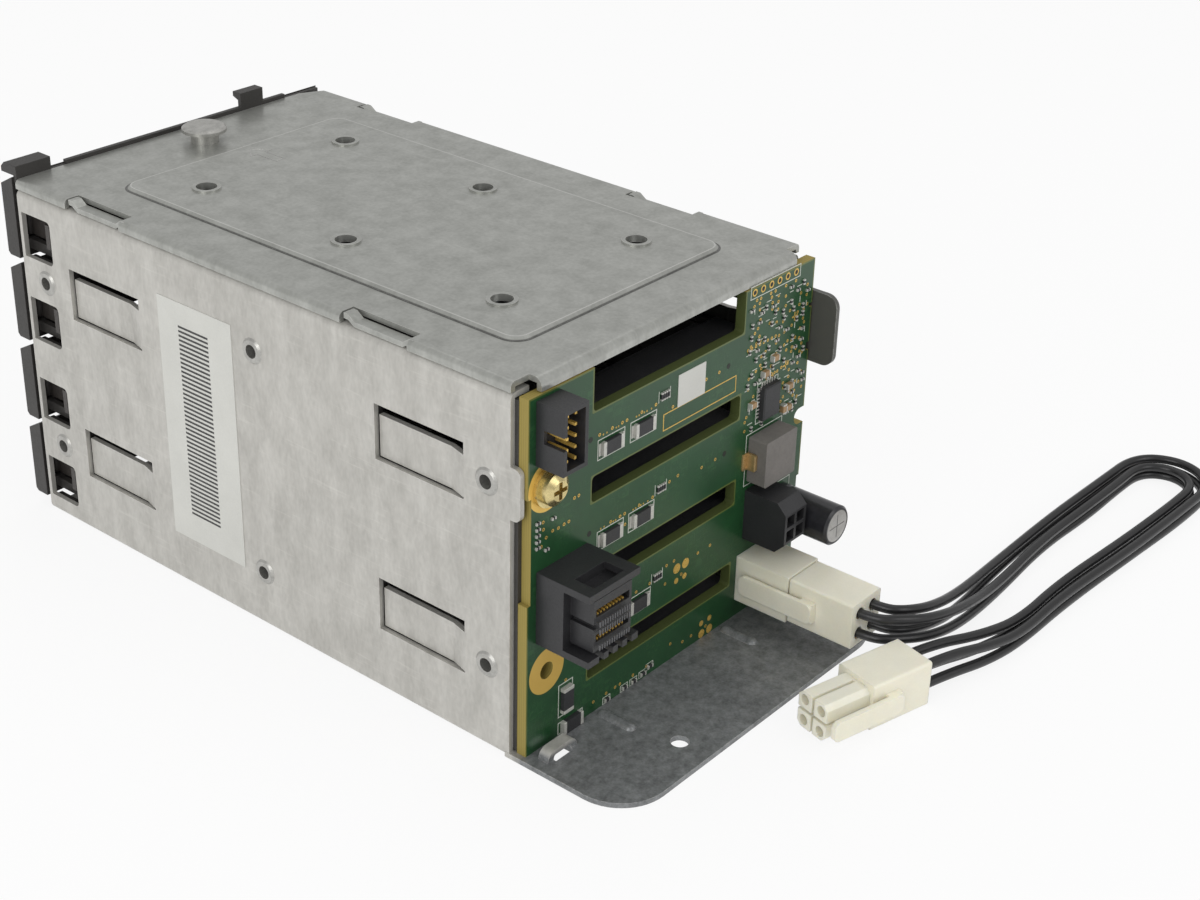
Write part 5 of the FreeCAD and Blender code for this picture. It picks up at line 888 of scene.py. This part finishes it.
class CAGE_OT_dress_board(bpy.types.Operator):
    """Add the board's finish, plated holes, test pads, printed outlines and small parts"""
    bl_idname = "cage.dress_board"
    bl_label = "Dress the Board"

    def execute(self, context):
        coat_nodes({"board_green"})
        sizes = settings().board
        rise = sizes.copper_rise / MM
        via = sizes.via_radius / MM
        line = sizes.line_width / MM
        vias = ROW_VIAS + SINGLE_VIAS + LEFT_VIAS + CROWDED_VIAS
        vias += dense_spots(sizes.scatter_seed, 90, 0.85)
        holes = [on_board(x, z, via, via, rise) for x, z in vias]
        holes += [on_board(x, z, via * 0.55, via * 0.55, rise) for x, z in TINY_VIAS]
        repeat("board_vias", ring_mesh("via", 0.45, 12), holes, "contact_gold")
        repeat("board_via_holes", disc_mesh("via_hole", 10),
               [on_board(x, z, via * 0.46, via * 0.46, rise * 0.5) for x, z in vias], "dark_hole")
        header = [on_board(x, 68.0, 0.72, 0.72, rise) for x in HEADER_HOLES]
        repeat("header_rings", ring_mesh("header_ring", 0.62, 18), header, "contact_gold")
        repeat("header_holes", disc_mesh("header_hole", 16),
               [on_board(x, 68.0, 0.45, 0.45, rise * 0.6) for x in HEADER_HOLES], "dark_hole")
        repeat("test_pads", disc_mesh("test_pad", 20),
               [on_board(x, z, radius, radius, rise) for x, z, radius in TEST_PADS], "contact_gold")
        repeat("board_pits", disc_mesh("pit", 14), [on_board(x, z, 0.55, 0.55, 0.02) for x, z in BLACK_DOTS],
               "dark_hole")
        self.outlines(line, rise)
        self.small_parts(sizes.scatter_seed)
        return {"FINISHED"}

    def outlines(self, line, rise):
        """White outlines round the parts, plus the gold box above the middle slot."""
        bars = []
        for x, z in SHUNT_SPOTS:
            bars += frame_lines(x, z, 6.9, 3.7, line)
        for x, z, width, height in ((27.6, 8.0, 3.6, 6.6), (26.2, 2.3, 6.4, 2.3), (-28.0, 68.07, 15.0, 2.35),
                                    (-27.5, 44.9, 6.3, 8.0), (-27.4, 34.2, 11.0, 10.6), (-33.9, 20.6, 6.0, 9.4)):
            bars += frame_lines(x, z, width, height, line)
        source = random.Random(11)
        for x, z in dense_spots(23, 60, 1.2):
            wide, tall = source.choice(((1.1, 0.15), (0.15, 1.1), (1.5, 0.15)))
            bars.append(on_board(x, z, wide, tall, rise))
        for x, z in SMALL_ARRAYS:
            bars += [on_board(x - 1.55, z, 0.14, 2.2, rise), on_board(x + 1.55, z, 0.14, 2.2, rise)]
        for x, z in FOOT_CHIPS:
            bars += frame_lines(x, z, 2.0, 1.3, 0.12)
        repeat("board_print", block_mesh("print_bar"), bars, "white_print")
        gold = frame_lines(-7.1, 51.8, 20.6, 3.1, 0.2)
        for x, z in ((-34.75, 59.1), (-32.9, 49.9)):
            gold += [on_board(x, z, 1.8, 0.28, rise), on_board(x, z, 0.28, 1.8, rise)]
        repeat("gold_marks", block_mesh("gold_bar"), gold, "contact_gold")

    def small_parts(self, seed):
        """Chip resistors and capacitors with bright ends, and the leads of the controller."""
        source = random.Random(seed)
        bodies, ends, tan = [], [], []

        def chip(x, z, length, width, tall, upright, store):
            reach = (length - 0.28) / 2
            wide = (width, length) if upright else (length, width)
            inner = (width, length - 0.5) if upright else (length - 0.5, width)
            store.append(on_board(x, z, inner[0], inner[1], tall))
            for way in (-1, 1):
                shift = (0.0, way * reach) if upright else (way * reach, 0.0)
                size = (wide[0], 0.3) if upright else (0.3, wide[1])
                ends.append(on_board(x + shift[0], z + shift[1], size[0], size[1], tall + 0.03))

        for x, z in dense_spots(seed + 4, 62, 1.35):
            chip(x, z, 1.0, 0.5, 0.35, source.random() < 0.5, bodies)
        for x, z in FOOT_CHIPS:
            chip(x, z, 1.4, 0.7, 0.4, False, bodies)
        for x, z in LEFT_CHIPS:
            chip(x, z, 1.0, 0.5, 0.35, False, bodies)
        for x, z in SMALL_ARRAYS:
            for column in (-0.9, -0.3, 0.3, 0.9):
                chip(x + column, z, 1.5, 0.42, 0.35, True, bodies)
        for x, z in TAN_PARTS:
            chip(x, z, 1.9, 1.15, 0.9, source.random() < 0.5, tan)
        for x, z in SHUNT_SPOTS:
            for way in (-1, 1):
                ends.append(on_board(x + way * 2.25, z, 0.75, 2.56, 0.70))
                ends.append(on_board(x + way * 2.95, z, 0.6, 2.3, 0.12))
        for x, z, upright in FUSE_SPOTS:
            for way in (-1, 1):
                shift = (0.0, way * 2.2) if upright else (way * 2.2, 0.0)
                size = (2.56, 0.7) if upright else (0.7, 2.56)
                ends.append(on_board(x + shift[0], z + shift[1], size[0], size[1], 0.95))
        block = block_mesh("small_part", 0.08)
        repeat("small_chips", block, bodies, "chip_resin")
        repeat("ceramic_parts", block_mesh("ceramic_part", 0.08), tan, "capacitor_tan")
        leads = []
        low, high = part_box("controller_chip")
        for step in range(8):
            z = low.z / MM + 0.7 + step * (high.z - low.z - 1.4 * MM) / 7 / MM
            for x in (low.x / MM - 0.35, high.x / MM + 0.35):
                leads.append(on_board(x, z, 0.9, 0.28, 0.22))
        for step in range(6):
            x = low.x / MM + 0.6 + step * (high.x - low.x - 1.2 * MM) / 5 / MM
            for z in (low.z / MM - 0.35, high.z / MM + 0.35):
                leads.append(on_board(x, z, 0.28, 0.9, 0.22))
        low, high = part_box("inductor")
        middle = (low.z + high.z) / 2 / MM
        strips = [on_board(high.x / MM + 0.35, middle, 0.7, 3.4, 2.2), on_board(low.x / MM - 0.35, middle, 0.7, 3.4, 2.2),
                  on_board(high.x / MM + 1.1, middle, 1.6, 3.4, 0.3), on_board(low.x / MM - 1.1, middle, 1.6, 3.4, 0.3)]
        repeat("inductor_strips", block_mesh("strip", 0.1), strips, "copper")
        repeat("solder_ends", block_mesh("solder_end", 0.06), ends + leads, "bright_solder")


class CAGE_OT_rib_connector(bpy.types.Operator):
    """Set the fine ribs round the two card slots of the data connector"""
    bl_idname = "cage.rib_connector"
    bl_label = "Rib the Data Connector"

    def execute(self, context):
        low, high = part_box("data_connector")
        start = low.x + 2.6 * MM
        ribs = []
        for z in (30.4, 28.9, 25.9):
            ribs += [((start + step * 0.62 * MM, high.y - 0.03 * MM, z * MM), (0.0, 0.0, 0.0),
                      (0.28 * MM, 0.2 * MM, 1.0 * MM)) for step in range(13)]
        repeat("connector_ribs", block_mesh("rib", 0.1), ribs, "rib_nylon")
        return {"FINISHED"}


ARROW = [(-1.95, 19.9), (0.7, 23.2), (-0.9, 23.2), (-0.9, 28.8), (-3.0, 28.8), (-3.0, 23.2), (-4.6, 23.2)]


class CAGE_OT_press_arrow(bpy.types.Operator):
    """Press the small outline arrow into the cover, pointing to the carriers"""
    bl_idname = "cage.press_arrow"
    bl_label = "Press the Arrow"

    def execute(self, context):
        hole_rim = 0.35 * MM
        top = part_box("top_cover")[1].z - hole_rim
        bars = []
        for (x0, y0), (x1, y1) in zip(ARROW, ARROW[1:] + ARROW[:1]):
            length = math.hypot(x1 - x0, y1 - y0)
            bars.append((((x0 + x1) / 2 * MM, (y0 + y1) / 2 * MM, top - 0.03 * MM),
                         (math.pi / 2, 0.0, math.atan2(y1 - y0, x1 - x0)),
                         ((length + 0.3) * MM, 0.08 * MM, 0.3 * MM)))
        # Painted highlight: the arrow's bars take the lighter spring-steel finish, brighter than the cover they are
        # pressed into.
        repeat("pressed_arrow", block_mesh("arrow_bar", 0.2), bars, "spring_steel")
        return {"FINISHED"}


# ---------------------------------------------------------------------------
# Labels
# ---------------------------------------------------------------------------

class CAGE_OT_mark_labels(bpy.types.Operator):
    """Coat the labels and put a plain block of bars on the long one"""
    bl_idname = "cage.mark_labels"
    bl_label = "Mark the Labels"

    def execute(self, context):
        coat_nodes({"label_paper"})
        bars = []
        start, end, pitch = 16.9, 55.6, 0.9
        count = int((end - start) / pitch)
        for step in range(count + 1):
            bars.append(((SIDE_LABEL_FACE, 49.85 * MM, (start + step * pitch) * MM), (0.0, 0.0, -math.pi / 2),
                         (8.1 * MM, 0.02 * MM, 0.42 * MM)))
        repeat("label_bars", block_mesh("label_bar"), bars, "dark_print")
        return {"FINISHED"}


# ---------------------------------------------------------------------------
# Stage
# ---------------------------------------------------------------------------

def seen_white(tree, strength=1.0):
    """1 where the eye, a mirror or glass looks straight at it."""
    path = add(tree, "ShaderNodeLightPath").outputs
    seen = maths(tree, "MAXIMUM", path["Is Camera Ray"], path["Is Glossy Ray"])
    return maths(tree, "MULTIPLY", maths(tree, "MAXIMUM", seen, path["Is Transmission Ray"]), strength)


class CAGE_OT_set_stage(bpy.types.Operator):
    """Place the camera, the soft lights and the pale floor"""
    bl_idname = "cage.set_stage"
    bl_label = "Set the Stage"

    def execute(self, context):
        sizes = settings().stage
        self.camera(context, sizes)
        self.floor(context, sizes)
        self.lights(context, sizes)
        context.scene.view_settings.view_transform = "Standard"
        return {"FINISHED"}

    def camera(self, context, sizes):
        turn, tilt, roll = math.radians(128.338), math.radians(26.978), math.radians(2.009)
        back = Vector((math.sin(turn) * math.cos(tilt), -math.cos(turn) * math.cos(tilt), math.sin(tilt)))
        right = (-back).cross(Vector((0.0, 0.0, 1.0))).normalized()
        up = right.cross(-back)
        right, up = (math.cos(roll) * right + math.sin(roll) * up, -math.sin(roll) * right + math.cos(roll) * up)
        lens = bpy.data.cameras.new("cage_camera")
        lens.sensor_width = 36.0
        lens.lens = sizes.lens
        lens.shift_x, lens.shift_y = -0.0263, -0.0403
        lens.clip_start, lens.clip_end = 0.01, 50.0
        camera = bpy.data.objects.new("cage_camera", lens)
        camera.matrix_world = Matrix.Translation((0.245958, 0.314105, 0.210983)) @ Matrix(
            (right, up, back)).transposed().to_4x4()
        context.scene.collection.objects.link(camera)
        context.scene.camera = camera

    def floor(self, context, sizes):
        half = sizes.floor_size / 2
        mesh = bpy.data.meshes.new("pale_floor")
        mesh.from_pydata([(-half, -half, 0.0), (half, -half, 0.0), (half, half, 0.0), (-half, half, 0.0)], [],
                         [(0, 1, 2, 3)])
        floor = bpy.data.objects.new("pale_floor", mesh)
        floor.location.z = min(0.0, CAD_BOX[0][2]) - 0.00002
        context.scene.collection.objects.link(floor)
        material = bpy.data.materials.new("Pale floor")
        material.use_nodes = True
        tree = material.node_tree
        tree.nodes.clear()
        matt = add(tree, "ShaderNodeBsdfDiffuse", {"Color": (0.93, 0.93, 0.93, 1.0)})
        glow = add(tree, "ShaderNodeEmission", {"Color": (1.0, 1.0, 1.0, 1.0), "Strength": 1.0})
        mixed = add(tree, "ShaderNodeMixShader", {0: seen_white(tree, 0.86), 1: matt.outputs[0],
                                                  2: glow.outputs[0]})
        output = add(tree, "ShaderNodeOutputMaterial")
        tree.links.new(mixed.outputs[0], output.inputs["Surface"])
        mesh.materials.append(material)

    def lights(self, context, sizes):
        world = bpy.data.worlds.new("soft_surroundings")
        context.scene.world = world
        world.use_nodes = True
        tree = world.node_tree
        tree.nodes.clear()
        dim = add(tree, "ShaderNodeBackground", {"Color": (1.0, 1.0, 1.0, 1.0), "Strength": sizes.world_level})
        white = add(tree, "ShaderNodeBackground", {"Color": (1.0, 1.0, 1.0, 1.0), "Strength": 1.0})
        path = add(tree, "ShaderNodeLightPath").outputs
        seen = maths(tree, "MAXIMUM", path["Is Camera Ray"], path["Is Transmission Ray"])
        mixed = add(tree, "ShaderNodeMixShader", {0: seen, 1: dim.outputs[0], 2: white.outputs[0]})
        output = add(tree, "ShaderNodeOutputWorld")
        tree.links.new(mixed.outputs[0], output.inputs["Surface"])
        aim = Vector((-0.01, 0.08, 0.035))
        for name, place, size, power in (("side_light", (0.75, 0.25, 0.42), 0.55, sizes.key_power),
                                         ("rear_light", (-0.15, 0.85, 0.5), 0.5, sizes.key_power * 0.55),
                                         ("top_light", (-0.25, -0.1, 0.8), 0.6, sizes.key_power * 0.3)):
            lamp = bpy.data.lights.new(name, "AREA")
            lamp.shape = "SQUARE"
            lamp.size = size
            lamp.energy = power
            holder = bpy.data.objects.new(name, lamp)
            holder.location = place
            holder.rotation_mode = "QUATERNION"
            holder.rotation_quaternion = (aim - Vector(place)).to_track_quat("-Z", "Y")
            context.scene.collection.objects.link(holder)


# ---------------------------------------------------------------------------
# Panel and registration
# ---------------------------------------------------------------------------

class CAGE_PT_panel(bpy.types.Panel):
    """Sizes, colours and steps of the drive cage"""
    bl_label = "Drive Cage"
    bl_idname = "CAGE_PT_panel"
    bl_space_type = "VIEW_3D"
    bl_region_type = "UI"
    bl_category = "Drive Cage"

    def draw(self, context):
        for group in ("lead", "board", "stage", "colours"):
            box = self.layout.box()
            held = getattr(context.scene.cage, group)
            for name in held.__class__.__annotations__:
                box.prop(held, name)
        for step in STEPS:
            self.layout.operator(step.bl_idname)


STEPS = (CAGE_OT_set_stage, CAGE_OT_lay_wires, CAGE_OT_finish_sheet, CAGE_OT_finish_mouldings,
         CAGE_OT_finish_connectors, CAGE_OT_dress_board, CAGE_OT_rib_connector, CAGE_OT_press_arrow,
         CAGE_OT_mark_labels)
CLASSES = (CageColours, LeadSizes, BoardSizes, StageSizes, CageSettings, *STEPS, CAGE_PT_panel)


def register():
    for item in CLASSES:
        bpy.utils.register_class(item)
    bpy.types.Scene.cage = PointerProperty(type=CageSettings)


def unregister():
    del bpy.types.Scene.cage
    for item in reversed(CLASSES):
        bpy.utils.unregister_class(item)


def main():
    register()
    bpy.ops.cage.set_stage()
    bpy.ops.cage.lay_wires()
    bpy.ops.cage.finish_sheet()
    bpy.ops.cage.finish_mouldings()
    bpy.ops.cage.finish_connectors()
    bpy.ops.cage.dress_board()
    bpy.ops.cage.rib_connector()
    bpy.ops.cage.press_arrow()
    bpy.ops.cage.mark_labels()
    bpy.context.view_layer.update()


if __name__ == "__main__":
    main()
